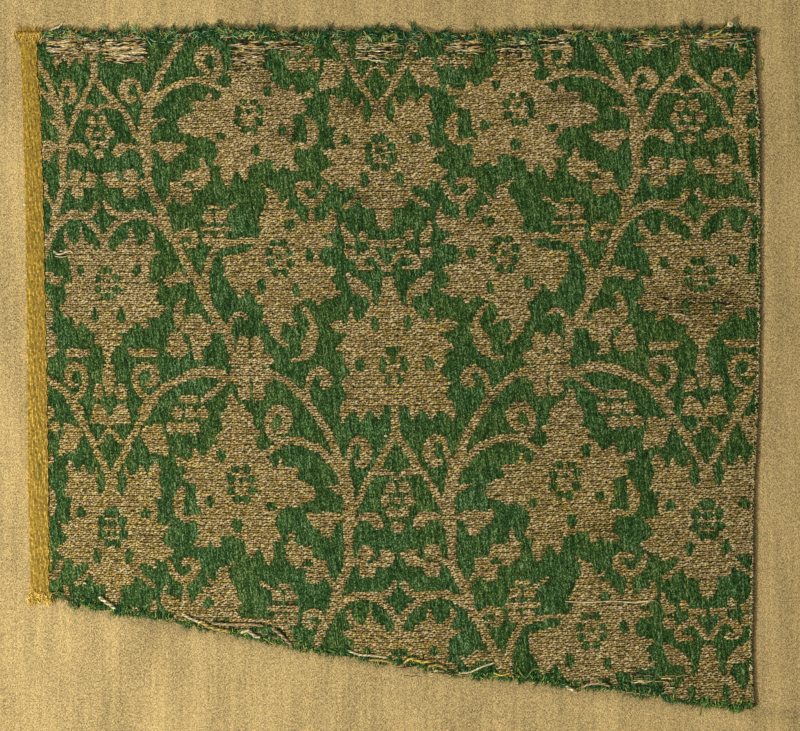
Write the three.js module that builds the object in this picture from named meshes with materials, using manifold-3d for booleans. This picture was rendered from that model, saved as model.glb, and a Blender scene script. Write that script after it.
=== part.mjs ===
// A lampas textile fragment, cut on three sides with its yellow selvage on the fourth, laid on
// linen that is stretched over a wooden strainer and turned over onto its back, in a plain
// wooden frame.
//
// Millimetres, +Z up. The frame lies on its back: the fragment faces +Z, its upper edge lies
// towards +Y and its selvage along -X. The origin is the centre of the frame's underside.

import * as THREE from "three";
import { mergeVertices } from "three/addons/utils/BufferGeometryUtils.js";
import Module from "manifold-3d";

const wasm = await Module();
wasm.setup();

// Clearance kept between pieces that touch in the real object
const CLEARANCE = 0.3;

// Frame: four plain mitred rails with a rebate behind, whose lip laps over the linen's edge
const FRAME_WIDTH = 250;
const FRAME_LENGTH = 234;
const RAIL_WIDTH = 17;
const RAIL_LIP = 4;
const RAIL_LIP_THICKNESS = 4;
const RAIL_OUTER_ROUND = 2.4;
const RAIL_SIGHT_ROUND = 1.2;
const RAIL_EASED_EDGE = 0.6;

// Mount: linen over four strainer bars, held in the frame's rebate
const MOUNT_WIDTH = FRAME_WIDTH - 2 * (RAIL_WIDTH - RAIL_LIP);
const MOUNT_LENGTH = FRAME_LENGTH - 2 * (RAIL_WIDTH - RAIL_LIP);
const LINEN_THICKNESS = 1;
const LINEN_EDGE_ROUND = 1.6;
const LINEN_CORNER_ROUND = 2.2;
const LINEN_TURNOVER = 20;
const MITRE_SLIT = 0.8;
const ROUND_STEPS = 3;

const BAR_WIDTH = 28;
const BAR_THICKNESS = 12;
const BAR_EASED_EDGE = 0.8;
const BAR_FLAT_RIM = 7;
const BAR_SLOPE_DROP = 1.2;

const BAR_BOTTOM = LINEN_THICKNESS + CLEARANCE;
const LINEN_UNDERSIDE = BAR_BOTTOM + BAR_THICKNESS + CLEARANCE;
const LINEN_TOP = LINEN_UNDERSIDE + LINEN_THICKNESS;
const FRAME_DEPTH = LINEN_TOP + CLEARANCE + RAIL_LIP_THICKNESS;

// Fragment: a thin sheet with uneven edges that follow where it was cut
const CLOTH_THICKNESS = 1;
const SELVAGE_WIDTH = 5;
const SELVAGE_RISE = 0.3;
const SELVAGE_COLUMNS = 4;
const GROUND_COLUMNS = 32;
const CLOTH_ROWS = 32;
const COCKLE_HEIGHT = 0.16;
const FRAY_HEIGHT = 0.35;

// The fragment's edges, corner to corner. Along the upper and lower edges x grows, and along
// the selvage and the cut side y falls.
const UPPER_EDGE = [
  { x: -92.8, y: 83.8 },
  { x: -72.0, y: 84.2 },
  { x: -41.5, y: 85.4 },
  { x: -10.0, y: 84.8 },
  { x: 15.0, y: 84.0 },
  { x: 41.0, y: 84.8 },
  { x: 66.0, y: 84.2 },
  { x: 85.0, y: 85.0 },
  { x: 91.6, y: 83.8 },
];
const LOWER_EDGE = [
  { x: -90.0, y: -57.8 },
  { x: -81.5, y: -57.6 },
  { x: -72.0, y: -60.5 },
  { x: -47.0, y: -65.0 },
  { x: -20.5, y: -70.4 },
  { x: 3.0, y: -74.0 },
  { x: 43.0, y: -79.3 },
  { x: 66.0, y: -81.8 },
  { x: 75.0, y: -84.0 },
  { x: 91.6, y: -85.0 },
];
const SELVAGE_EDGE = [
  { x: -92.8, y: 83.8 },
  { x: -91.7, y: 77.5 },
  { x: -90.8, y: 45.0 },
  { x: -90.2, y: 2.8 },
  { x: -90.1, y: -23.5 },
  { x: -89.4, y: -49.0 },
  { x: -90.0, y: -57.8 },
];
const CUT_EDGE = [
  { x: 91.6, y: 83.8 },
  { x: 92.8, y: 62.0 },
  { x: 93.0, y: 20.0 },
  { x: 92.0, y: -20.0 },
  { x: 91.3, y: -50.0 },
  { x: 90.9, y: -71.5 },
  { x: 91.6, y: -85.0 },
];

function plainMaterial(name, color, roughness) {
  return new THREE.MeshStandardMaterial({ name, color, roughness, metalness: 0 });
}

const lampasSilk = plainMaterial("lampas_silk", 0x2c6a34, 0.7);
const mountLinen = plainMaterial("mount_linen", 0xbfa26c, 0.95);
const strainerWood = plainMaterial("strainer_wood", 0xc9a878, 0.75);
const frameWood = plainMaterial("frame_wood", 0x6b4a2c, 0.5);

// A closed geometry as a solid that can be cut, and a cut solid as geometry again.
function solidOf(geometry) {
  const bare = geometry.clone();
  bare.deleteAttribute("normal");
  bare.deleteAttribute("uv");
  const merged = mergeVertices(bare, 1e-4);
  return new wasm.Manifold(
    new wasm.Mesh({
      numProp: 3,
      vertProperties: new Float32Array(merged.attributes.position.array),
      triVerts: new Uint32Array(merged.index.array),
    }),
  );
}

function geometryOf(solid) {
  const mesh = solid.getMesh();
  const geometry = new THREE.BufferGeometry();
  geometry.setAttribute("position", new THREE.BufferAttribute(new Float32Array(mesh.vertProperties), 3));
  geometry.setIndex(new THREE.BufferAttribute(new Uint32Array(mesh.triVerts), 1));
  geometry.computeVertexNormals();
  return geometry;
}

function roundedRectangle(width, length, radius) {
  const [x, y] = [width / 2, length / 2];
  const shape = new THREE.Shape();
  shape.moveTo(-x + radius, -y);
  shape.lineTo(x - radius, -y);
  shape.absarc(x - radius, -y + radius, radius, -Math.PI / 2, 0);
  shape.lineTo(x, y - radius);
  shape.absarc(x - radius, y - radius, radius, 0, Math.PI / 2);
  shape.lineTo(-x + radius, y);
  shape.absarc(-x + radius, y - radius, radius, Math.PI / 2, Math.PI);
  shape.lineTo(-x, -y + radius);
  shape.absarc(-x + radius, -y + radius, radius, Math.PI, Math.PI * 1.5);
  return shape;
}

// A slab from z = low to z = high with rounded corners and rounded long edges.
function pillow(width, length, low, high, cornerRound, edgeRound) {
  const inset = 2 * edgeRound;
  const outline = roundedRectangle(width - inset, length - inset, cornerRound - edgeRound);
  const slab = new THREE.ExtrudeGeometry(outline, {
    depth: high - low - inset,
    bevelEnabled: true,
    bevelThickness: edgeRound,
    bevelSize: edgeRound,
    bevelSegments: ROUND_STEPS,
    curveSegments: ROUND_STEPS,
  });
  slab.translate(0, 0, low + edgeRound);
  return slab;
}

// The linen: over the front and down the four sides in one piece, then under onto the bars'
// backs, with a slit at each corner where the turned-over edges meet in a mitre.
function linenCover() {
  const outer = pillow(MOUNT_WIDTH, MOUNT_LENGTH, 0, LINEN_TOP, LINEN_CORNER_ROUND, LINEN_EDGE_ROUND);
  const inner = pillow(
    MOUNT_WIDTH - 2 * LINEN_THICKNESS,
    MOUNT_LENGTH - 2 * LINEN_THICKNESS,
    LINEN_THICKNESS,
    LINEN_UNDERSIDE,
    LINEN_CORNER_ROUND - LINEN_THICKNESS,
    LINEN_EDGE_ROUND - LINEN_THICKNESS,
  );
  let cover = solidOf(outer).subtract(solidOf(inner));

  const openWidth = MOUNT_WIDTH - 2 * LINEN_TURNOVER;
  const openLength = MOUNT_LENGTH - 2 * LINEN_TURNOVER;
  const opening = new THREE.BoxGeometry(openWidth, openLength, 4 * LINEN_THICKNESS);
  cover = cover.subtract(solidOf(opening));

  const slitLength = (LINEN_TURNOVER - LINEN_CORNER_ROUND) * Math.SQRT2;
  for (const sideX of [-1, 1]) {
    for (const sideY of [-1, 1]) {
      const slit = new THREE.BoxGeometry(slitLength, MITRE_SLIT, 3 * LINEN_THICKNESS);
      slit.translate(slitLength / 2 - 1, 0, 0);
      slit.rotateZ(Math.atan2(sideY, sideX));
      slit.translate((sideX * openWidth) / 2, (sideY * openLength) / 2, 0);
      cover = cover.subtract(solidOf(slit));
    }
  }
  return geometryOf(cover);
}

// A length of wood along X with its outer face at y = 0 and its inner edge towards +Y. The
// section gives how far in from the outer face and how high each point lies. Both ends are
// mitred: the further in, the shorter the piece.
function mitredLength(section, outerLength) {
  const piece = new THREE.ExtrudeGeometry(section, {
    depth: 1,
    bevelEnabled: false,
    curveSegments: ROUND_STEPS,
  });
  const mitreGap = CLEARANCE / Math.SQRT2;
  const position = piece.attributes.position;
  for (let i = 0; i < position.count; i++) {
    const inset = position.getX(i);
    const height = position.getY(i);
    const end = position.getZ(i) > 0.5 ? 1 : -1;
    position.setXYZ(i, end * (outerLength / 2 - inset - mitreGap), inset, height);
  }
  piece.deleteAttribute("uv");
  piece.deleteAttribute("normal");
  const closed = mergeVertices(piece, 1e-4);
  closed.computeVertexNormals();
  return closed;
}

// Strainer bar: flat behind, and sloped away from the linen in front inside its outer rim.
function strainerSection() {
  const section = new THREE.Shape();
  section.moveTo(BAR_EASED_EDGE, 0);
  section.lineTo(BAR_WIDTH - BAR_EASED_EDGE, 0);
  section.lineTo(BAR_WIDTH, BAR_EASED_EDGE);
  section.lineTo(BAR_WIDTH, BAR_THICKNESS - BAR_SLOPE_DROP - BAR_EASED_EDGE);
  section.lineTo(BAR_WIDTH - BAR_EASED_EDGE, BAR_THICKNESS - BAR_SLOPE_DROP);
  section.lineTo(BAR_FLAT_RIM, BAR_THICKNESS);
  section.lineTo(BAR_EASED_EDGE, BAR_THICKNESS);
  section.lineTo(0, BAR_THICKNESS - BAR_EASED_EDGE);
  section.lineTo(0, BAR_EASED_EDGE);
  section.closePath();
  return section;
}

// Frame rail: a block with its front edges rounded and a rebate cut out of its inner back.
function railSection() {
  const rebateWall = RAIL_WIDTH - RAIL_LIP - CLEARANCE;
  const lipUnderside = FRAME_DEPTH - RAIL_LIP_THICKNESS;
  const section = new THREE.Shape();
  section.moveTo(RAIL_EASED_EDGE, 0);
  section.lineTo(rebateWall, 0);
  section.lineTo(rebateWall, lipUnderside);
  section.lineTo(RAIL_WIDTH, lipUnderside);
  section.lineTo(RAIL_WIDTH, FRAME_DEPTH - RAIL_SIGHT_ROUND);
  section.absarc(
    RAIL_WIDTH - RAIL_SIGHT_ROUND,
    FRAME_DEPTH - RAIL_SIGHT_ROUND,
    RAIL_SIGHT_ROUND,
    0,
    Math.PI / 2,
  );
  section.lineTo(RAIL_OUTER_ROUND, FRAME_DEPTH);
  section.absarc(
    RAIL_OUTER_ROUND,
    FRAME_DEPTH - RAIL_OUTER_ROUND,
    RAIL_OUTER_ROUND,
    Math.PI / 2,
    Math.PI,
  );
  section.lineTo(0, RAIL_EASED_EDGE);
  section.closePath();
  return section;
}

// The point at share t of the way along a table's edge, by length.
function along(edge, t) {
  const lengths = [0];
  for (let i = 1; i < edge.length; i++) {
    lengths.push(lengths[i - 1] + Math.hypot(edge[i].x - edge[i - 1].x, edge[i].y - edge[i - 1].y));
  }
  const wanted = t * lengths[lengths.length - 1];
  let i = 1;
  while (i < edge.length - 1 && lengths[i] < wanted) i++;
  const part = (wanted - lengths[i - 1]) / (lengths[i] - lengths[i - 1]);
  return {
    x: edge[i - 1].x + part * (edge[i].x - edge[i - 1].x),
    y: edge[i - 1].y + part * (edge[i].y - edge[i - 1].y),
  };
}

// The plan of the cloth: s runs from the selvage to the cut side, t from the upper edge down.
function clothPlan(s, t) {
  const [upper, lower] = [along(UPPER_EDGE, s), along(LOWER_EDGE, s)];
  const [left, right] = [along(SELVAGE_EDGE, t), along(CUT_EDGE, t)];
  const corners = [UPPER_EDGE[0], UPPER_EDGE.at(-1), LOWER_EDGE[0], LOWER_EDGE.at(-1)];
  const blend = (axis) =>
    (1 - t) * upper[axis] + t * lower[axis] + (1 - s) * left[axis] + s * right[axis] -
    ((1 - s) * (1 - t) * corners[0][axis] + s * (1 - t) * corners[1][axis] +
      (1 - s) * t * corners[2][axis] + s * t * corners[3][axis]);
  return { x: blend("x"), y: blend("y") };
}

// Cut edges are ragged by a fraction of a millimetre, and more so towards the edge itself.
function ragged(x, s, t) {
  const nearEdge = Math.max(0, 1 - Math.min(t, 1 - t) * CLOTH_ROWS);
  const beyondSelvage = Math.min(1, s * GROUND_COLUMNS);
  const wave = Math.sin(x * 0.93) + 0.7 * Math.sin(x * 2.1 + 1.3);
  return (t < 0.5 ? 1 : -1) * FRAY_HEIGHT * nearEdge * beyondSelvage * wave;
}

// Old cloth lies in shallow cockles. Never below zero, so that the linen stays clear.
function cockle(x, y) {
  const slow = Math.sin(x / 17 + 0.6) * Math.cos(y / 21 - 0.4);
  const quick = 0.5 * Math.sin((x + 0.6 * y) / 9.5);
  return COCKLE_HEIGHT * (1.5 + slow + quick);
}

function clothColumns() {
  const clothWidth = UPPER_EDGE.at(-1).x - UPPER_EDGE[0].x;
  const band = SELVAGE_WIDTH / clothWidth;
  const columns = [];
  for (let i = 0; i < SELVAGE_COLUMNS; i++) columns.push((band * i) / SELVAGE_COLUMNS);
  for (let i = 0; i <= GROUND_COLUMNS; i++) columns.push(band + ((1 - band) * i) / GROUND_COLUMNS);
  return { columns, band };
}

// The fragment: one closed sheet, a little thicker along the selvage's heavy warps.
function fragmentSheet() {
  const { columns, band } = clothColumns();
  const floor = LINEN_TOP + CLEARANCE;
  const [wide, high] = [columns.length, CLOTH_ROWS + 1];
  const positions = [];
  for (const side of [0, 1]) {
    for (let row = 0; row < high; row++) {
      const t = row / CLOTH_ROWS;
      for (const s of columns) {
        const { x, y } = clothPlan(s, t);
        const rise = s < band ? SELVAGE_RISE * Math.sin((Math.PI * s) / band) : 0;
        const z = floor + cockle(x, y) + side * (CLOTH_THICKNESS + rise);
        positions.push(x, y + ragged(x, s, t), z);
      }
    }
  }
  const at = (side, row, column) => side * wide * high + row * wide + column;
  const faces = [];
  const quad = (a, b, c, d) => faces.push(a, b, c, a, c, d);
  for (let row = 0; row < high - 1; row++) {
    for (let column = 0; column < wide - 1; column++) {
      const next = column + 1;
      quad(at(1, row, column), at(1, row + 1, column), at(1, row + 1, next), at(1, row, next));
      quad(at(0, row, column), at(0, row, next), at(0, row + 1, next), at(0, row + 1, column));
    }
  }
  for (let column = 0; column < wide - 1; column++) {
    const next = column + 1;
    quad(at(0, 0, column), at(1, 0, column), at(1, 0, next), at(0, 0, next));
    quad(at(0, high - 1, next), at(1, high - 1, next), at(1, high - 1, column), at(0, high - 1, column));
  }
  for (let row = 0; row < high - 1; row++) {
    quad(at(0, row + 1, 0), at(1, row + 1, 0), at(1, row, 0), at(0, row, 0));
    quad(at(0, row, wide - 1), at(1, row, wide - 1), at(1, row + 1, wide - 1), at(0, row + 1, wide - 1));
  }
  const sheet = new THREE.BufferGeometry();
  sheet.setAttribute("position", new THREE.Float32BufferAttribute(positions, 3));
  sheet.setIndex(faces);
  sheet.computeVertexNormals();
  return sheet;
}

function named(name, geometry, material) {
  const mesh = new THREE.Mesh(geometry, material);
  mesh.name = name;
  return mesh;
}

// Four mitred lengths round a rectangle, each turned so that its outer face lies on one side.
function mitredFrame(prefix, section, width, length, bottom, material) {
  const sides = [
    { name: "bottom", outerLength: width, x: 0, y: -length / 2, turn: 0 },
    { name: "right", outerLength: length, x: width / 2, y: 0, turn: Math.PI / 2 },
    { name: "top", outerLength: width, x: 0, y: length / 2, turn: Math.PI },
    { name: "left", outerLength: length, x: -width / 2, y: 0, turn: -Math.PI / 2 },
  ];
  const frame = new THREE.Group();
  frame.position.z = bottom;
  for (const side of sides) {
    const piece = named(`${prefix}_${side.name}`, mitredLength(section, side.outerLength), material);
    piece.position.set(side.x, side.y, 0);
    piece.rotation.z = side.turn;
    frame.add(piece);
  }
  return frame;
}

function strainer() {
  const inset = 2 * (LINEN_THICKNESS + CLEARANCE);
  const [width, length] = [MOUNT_WIDTH - inset, MOUNT_LENGTH - inset];
  return mitredFrame("strainer_bar", strainerSection(), width, length, BAR_BOTTOM, strainerWood);
}

function outerFrame() {
  return mitredFrame("frame_rail", railSection(), FRAME_WIDTH, FRAME_LENGTH, 0, frameWood);
}

const object = new THREE.Group();
object.add(outerFrame());
object.add(strainer());
object.add(named("mount_linen", linenCover(), mountLinen));
object.add(named("lampas_fragment", fragmentSheet(), lampasSilk));

export default object;
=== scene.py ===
"""A lampas silk fragment with its selvage, laid on linen over a strainer, in a plain wooden frame.

Sizes are in millimetres and become metres where a mesh is made. x runs along the fragment's upper
edge, y up to that edge and z out of its face.
"""
import math

import bpy
import numpy as np
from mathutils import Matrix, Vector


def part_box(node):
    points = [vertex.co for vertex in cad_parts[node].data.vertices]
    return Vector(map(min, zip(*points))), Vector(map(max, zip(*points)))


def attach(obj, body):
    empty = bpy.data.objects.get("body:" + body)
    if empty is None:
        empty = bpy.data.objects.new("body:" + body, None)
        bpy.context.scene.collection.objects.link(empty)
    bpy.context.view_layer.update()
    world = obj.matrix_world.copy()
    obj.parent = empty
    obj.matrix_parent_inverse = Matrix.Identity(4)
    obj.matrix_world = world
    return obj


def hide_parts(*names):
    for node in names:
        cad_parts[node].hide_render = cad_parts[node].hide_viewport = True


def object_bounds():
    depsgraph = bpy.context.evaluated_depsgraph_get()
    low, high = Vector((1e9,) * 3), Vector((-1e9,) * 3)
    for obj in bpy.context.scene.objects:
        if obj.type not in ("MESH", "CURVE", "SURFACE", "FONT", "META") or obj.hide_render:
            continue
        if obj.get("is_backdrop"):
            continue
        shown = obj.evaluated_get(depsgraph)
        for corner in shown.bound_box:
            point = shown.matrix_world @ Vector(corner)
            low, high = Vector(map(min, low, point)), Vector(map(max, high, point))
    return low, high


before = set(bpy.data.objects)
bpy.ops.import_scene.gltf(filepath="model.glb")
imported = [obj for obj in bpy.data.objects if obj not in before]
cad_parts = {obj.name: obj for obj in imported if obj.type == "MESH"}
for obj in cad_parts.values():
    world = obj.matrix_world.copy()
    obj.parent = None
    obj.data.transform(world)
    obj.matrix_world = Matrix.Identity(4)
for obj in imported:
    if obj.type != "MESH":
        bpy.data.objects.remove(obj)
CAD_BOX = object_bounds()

MM = 0.001
SEED = 1731
rng = np.random.default_rng(SEED)

# The mount, as large as the solid that it stands for
MOUNT_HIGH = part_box("mount_linen")[1]
MOUNT_HALF_WIDTH = MOUNT_HIGH[0] / MM
MOUNT_HALF_LENGTH = MOUNT_HIGH[1] / MM

# Heights, from the frame's underside
LINEN_TOP = round(MOUNT_HIGH[2] / MM, 3)
SILK_GAP = 0.1
SILK_UNDERSIDE = LINEN_TOP + SILK_GAP
SILK_THICKNESS = 0.85
COCKLE_HEIGHT = 0.16
# The cloth thins by a share at its cut edges, over so many millimetres
EDGE_FALL = 0.3
EDGE_REACH = 2.5

# The fragment's four edges, corner to corner, as x and y
UPPER_EDGE = (
    (-92.8, 83.8), (-85.3, 84.0), (-81.5, 84.5), (-72.0, 84.1), (-59.5, 84.0), (-49.5, 84.3), (-41.5, 85.0),
    (-31.5, 84.5), (-22.0, 84.0), (-10.8, 84.5), (1.8, 84.5), (15.5, 83.8), (33.5, 83.8), (41.3, 84.8),
    (50.5, 84.3), (59.0, 83.8), (66.8, 84.3), (76.3, 84.8), (85.3, 84.8), (91.6, 83.8),
)
LOWER_EDGE = (
    (-90.0, -57.9), (-85.2, -57.6), (-81.5, -57.4), (-78.2, -58.9), (-72.0, -60.5), (-59.5, -62.1),
    (-47.0, -65.0), (-33.0, -67.8), (-20.5, -70.4), (-9.5, -72.2), (3.0, -73.9), (15.8, -76.1), (28.0, -77.4),
    (43.0, -79.2), (53.0, -80.2), (65.8, -81.5), (73.0, -83.8), (78.0, -84.1), (88.0, -85.0), (91.6, -85.0),
)
SELVAGE_EDGE = (
    (-92.8, 83.8), (-92.3, 81.0), (-91.9, 78.0), (-91.4, 66.5), (-90.8, 47.3), (-90.6, 34.5), (-90.5, 21.8),
    (-90.2, 2.0), (-90.2, -23.5), (-89.9, -36.3), (-89.5, -49.0), (-89.4, -55.5), (-90.0, -57.9),
)
CUT_EDGE = (
    (91.6, 83.8), (92.1, 72.0), (92.9, 62.0), (93.0, 42.0), (93.0, 12.3), (92.6, -8.0), (92.0, -20.3),
    (91.5, -30.0), (91.3, -43.0), (91.3, -58.5), (90.9, -71.3), (91.3, -80.8), (91.6, -85.0),
)
# Where the yellow selvage ends and the green ground begins
SELVAGE_INNER = (
    (-87.6, 84.5), (-87.7, 76.0), (-86.8, 63.3), (-86.2, 47.3), (-85.9, 34.5), (-85.7, 21.8), (-85.3, 2.8),
    (-84.9, -17.0), (-84.7, -36.3), (-84.7, -58.5),
)

# The pattern is a point repeat: it mirrors at each of three lines down the cloth, and the middle
# line's motifs lie half a repeat lower. Rows: height in the pattern, then x and y on the cloth,
# which shrank and stretched unevenly with age.
HALF_REPEAT = 74.0
REPEAT = 188.0
DROP = REPEAT / 2
# Height in the pattern at about y = 0, from which the inverse starts, and how many steps it takes
PATTERN_LEVEL = 71.0
INVERSE_STEPS = 6
# The pattern beside the selvage has a line of its own, because it is drawn in there, mostly near the top
SELVAGE_STRIP = 18.0
SELVAGE_LINE = (
    (-18, -86.5, 86.0), (8.5, -85.3, 64.8), (30.25, -84.8, 46.6), (56, -83.8, 21.3), (80, -84.8, -3.0),
    (117.5, -84.5, -40.3), (170, -84.0, -92.8),
)
LEFT_LINE = (
    (-18, -74.2, 87.4), (-12, -74.0, 82.0), (0, -73.5, 71.3), (8.5, -73.0, 65.1), (15, -72.6, 58.5),
    (21.25, -72.4, 53.6), (30.25, -72.1, 46.6), (56, -70.4, 21.2), (117.5, -69.0, -40.5), (170, -68.3, -93.0),
)
MIDDLE_LINE = (
    (-18, -3.2, 94.0), (-10, -3.1, 85.5), (-3, -3.0, 77.8), (1.6, -2.9, 72.4), (9, -2.6, 66.4),
    (14.6, -2.4, 61.5), (19, -2.2, 57.2), (23.5, -2.0, 53.3), (30, -1.6, 47.1), (77, 1.4, 0.0),
    (94, 2.0, -18.0), (124.25, 2.6, -48.3), (156, 3.0, -80.5), (170, 3.2, -94.5),
)
RIGHT_LINE = (
    (-18, 74.3, 91.0), (-10, 74.3, 83.8), (0, 74.1, 74.5), (8.5, 74.5, 69.1), (15, 74.9, 62.5),
    (21.25, 75.3, 57.4), (30.25, 75.6, 50.0), (56, 78.0, 23.3), (88, 79.0, -8.9), (100, 79.6, -20.9),
    (113, 79.8, -34.0), (117.5, 79.9, -38.5), (170, 80.3, -91.0),
)

# Pattern weft: picks down the cloth, binding warps across it, and floats over a few of those
CHART_CELL = 0.2
PICK_PITCH = 0.546
BINDING_PITCH = 0.3
FLOAT_STEPS = (2, 3, 4)
FLOAT_SLANT = 0.28
WEFT_WIDTH = 0.42
WEFT_HEIGHT = 0.17
FIRST_PICK, LAST_PICK = -17.0, 168.0
PICK_START, PICK_END = -20.0, 168.0
WEFT_SPLIT = 70.0

# Ground warps: how they lean, and the pitch and length of the stretches of one shade, quick and slow
WARP_LEAN = -0.12
WARP_PITCH = 0.2
WARP_STRETCH = 0.3
WARP_LONG_PITCH = 0.27
WARP_LONG_STRETCH = 2.4

# The ground's mesh, and how far the warps' cut ends stray
GROUND_STEP = 0.8
GROUND_SPAN = (185.0, 168.0)
END_STRAY = 0.14


def srgb(red, green, blue):
    """A colour given in 0 to 255, as linear light."""
    values = np.array((red, green, blue), float) / 255
    return np.where(values <= 0.04045, values / 12.92, ((values + 0.055) / 1.055) ** 2.4)


GOLD = srgb(198, 174, 112)
TAN = srgb(194, 166, 120)
OCHRE = srgb(200, 170, 88)
CREAM = srgb(232, 216, 168)
WORN_BROWN = srgb(92, 64, 30)
# Near-black strands among the slack picks, as painted shadow between them
PICK_SHADOW = srgb(44, 32, 16)
SATIN_DARK = srgb(6, 34, 2)
SATIN_MIDDLE = srgb(42, 76, 22)
SATIN_LIGHT = srgb(84, 116, 60)
SATIN_SHEEN = srgb(144, 168, 114)
# How much of each colour a deeper or paler thread gains: the pale ones are the greyer ones
TONE_GAIN = np.array((0.52, 0.57, 0.8))
# What the satin's colours are multiplied by under the gold and under the selvage
UNDER_GOLD = np.array((1.15, 0.55, 0.4))
UNDER_SELVAGE = np.array((6.0, 1.9, 0.9))
# What a float's colour is multiplied by under a binding warp, for the warp's colour and painted shade in the
# dip, and along its lower side, as painted shade
UNDER_BINDING = np.array((0.58, 0.5, 0.36))
PAINTED_SIDE_SHADE = np.array((0.4, 0.34, 0.24))
BRIGHT_YELLOW = srgb(226, 194, 96)
SELVAGE_YELLOW = srgb(176, 144, 54)
TEAL = srgb(26, 78, 56)
DEEP_GREEN = srgb(34, 82, 38)
FRESH_GREEN = srgb(78, 128, 52)
YELLOW_GREEN = srgb(150, 158, 72)
PALE_GREEN = srgb(138, 174, 128)
LINEN_FLAX = srgb(203, 176, 116)


def smooth(points, steps):
    """A curve through rows of numbers, each stretch cut into steps."""
    rows = np.asarray(points, float)
    padded = np.vstack((2 * rows[0] - rows[1], rows, 2 * rows[-1] - rows[-2]))
    t = (np.arange(steps) / steps)[:, None]
    stretches = []
    for a, b, c, d in zip(padded, padded[1:], padded[2:], padded[3:]):
        stretches.append(0.5 * (2 * b + (c - a) * t + (2 * a - 5 * b + 4 * c - d) * t**2
                                + (3 * b - a - 3 * c + d) * t**3))
    return np.vstack(stretches + [rows[-1:]])


class Chart:
    """Half of the point repeat, u across from the mirror line and s down the warp.

    Gold cells are where the pattern weft lies on the face. Each shape is painted in every place
    where the repeat puts it.
    """

    def __init__(self):
        self.rows = round(REPEAT / CHART_CELL)
        self.columns = round(HALF_REPEAT / CHART_CELL)
        self.gold = np.zeros((self.rows, self.columns), bool)

    def paint(self, inside, low, high, gold):
        """Gold or bare ground in the cells that a shape holds, given its lowest and highest u and s."""
        places = ((1, 0, 0), (-1, 0, 0), (-1, HALF_REPEAT, DROP), (1, HALF_REPEAT, DROP))
        for side, across, down in places:
            reach = sorted((across + side * low[0], across + side * high[0]))
            first = max(0, math.floor(reach[0] / CHART_CELL))
            last = min(self.columns, math.ceil(reach[1] / CHART_CELL) + 1)
            if first >= last:
                continue
            columns = np.arange(first, last)
            rows = np.arange(math.floor((low[1] + down) / CHART_CELL),
                             math.ceil((high[1] + down) / CHART_CELL) + 1)
            u = side * ((columns + 0.5) * CHART_CELL - across)
            s = (rows + 0.5) * CHART_CELL - down
            cells = np.ix_(rows % self.rows, columns)
            part = self.gold[cells]
            part[inside(u[None, :], s[:, None])] = gold
            self.gold[cells] = part

    def stroke(self, *points, gold=True):
        """A brush stroke through points of u, s and width."""
        track = smooth(points, 4)
        reach = track[:, 2:].max() / 2

        def inside(u, s):
            hit = np.zeros((s.shape[0], u.shape[1]), bool)
            for (u0, s0, w0), (u1, s1, w1) in zip(track, track[1:]):
                du, ds = u1 - u0, s1 - s0
                share = np.clip(((u - u0) * du + (s - s0) * ds) / (du * du + ds * ds + 1e-9), 0, 1)
                hit |= np.hypot(u - u0 - share * du, s - s0 - share * ds) < (w0 + share * (w1 - w0)) / 2
            return hit

        self.paint(inside, track[:, :2].min(0) - reach, track[:, :2].max(0) + reach, gold)

    def dot(self, u0, s0, across, down=None, gold=True):
        """An ellipse about u0, s0 with its two half sizes."""
        down = down or across

        def inside(u, s):
            return ((u - u0) / across) ** 2 + ((s - s0) / down) ** 2 < 1

        self.paint(inside, (u0 - across, s0 - down), (u0 + across, s0 + down), gold)

    def holes(self, *places):
        """Round patches of bare ground, each with u, s and its two half sizes."""
        for u, s, across, down in places:
            self.dot(u, s, across, down, gold=False)

    def leaf(self, *points, gold=True):
        """A closed outline through points of u and s."""
        outline = np.array(points, float)

        def inside(u, s):
            hit = np.zeros((s.shape[0], u.shape[1]), bool)
            for (u0, s0), (u1, s1) in zip(outline, np.roll(outline, -1, axis=0)):
                if s0 != s1:
                    crosses = (s0 > s) != (s1 > s)
                    hit ^= crosses & (u < u0 + (s - s0) * (u1 - u0) / (s1 - s0))
            return hit

        self.paint(inside, outline.min(0), outline.max(0), gold)

    def at(self, p, v):
        """Whether gold lies at p across from the left mirror line and v down the cloth."""
        u = HALF_REPEAT - np.abs(HALF_REPEAT - np.abs(p) % (2 * HALF_REPEAT))
        column = np.clip((u / CHART_CELL).astype(int), 0, self.columns - 1)
        row = np.floor(v / CHART_CELL).astype(int) % self.rows
        return self.gold[row, column]


def forked_stem(chart):
    """The stem on the mirror line that forks into the two legs of the ogee."""
    chart.stroke((0, -8, 2), (0, -2, 2))
    chart.stroke((0.3, -1.4, 1.8), (1.2, 0.3, 1.7), (2.4, 2.4, 1.7), (3.9, 4.6, 1.8), (4.8, 6.6, 1.9),
        (6.6, 8.8, 1.7), (7.6, 10.4, 1.6), (8.6, 12.4, 1.6), (9.6, 14.6, 1.7), (11, 16.8, 1.8))
    chart.stroke((0.3, 9.6, 0.7), (1, 8.7, 1.3), (3, 8, 1.7), (5.5, 8, 1.9))


def seed_flower(chart):
    """The small flower that hangs under the fork."""
    chart.dot(1.65, 12, 1.4)
    chart.dot(0, 15.2, 1.1)
    chart.dot(3.05, 15, 1.3, 1.4)
    chart.dot(1.6, 18.1, 1.35, 1.4)
    chart.dot(0, 21.5, 1.4, 1.6)


def curled_bud(chart):
    """The bud that curls back beside the main vine."""
    chart.stroke((12.9, 7.5, 1.3), (12.2, 3.8, 1.3), (11.3, 1, 1.4), (9.8, -0.2, 1.6), (8.4, 0.8, 2.1),
        (7.8, 2.6, 2.6), (7.9, 4.6, 2.6), (8.9, 6.1, 2), (10.6, 5.8, 1.4))


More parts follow.
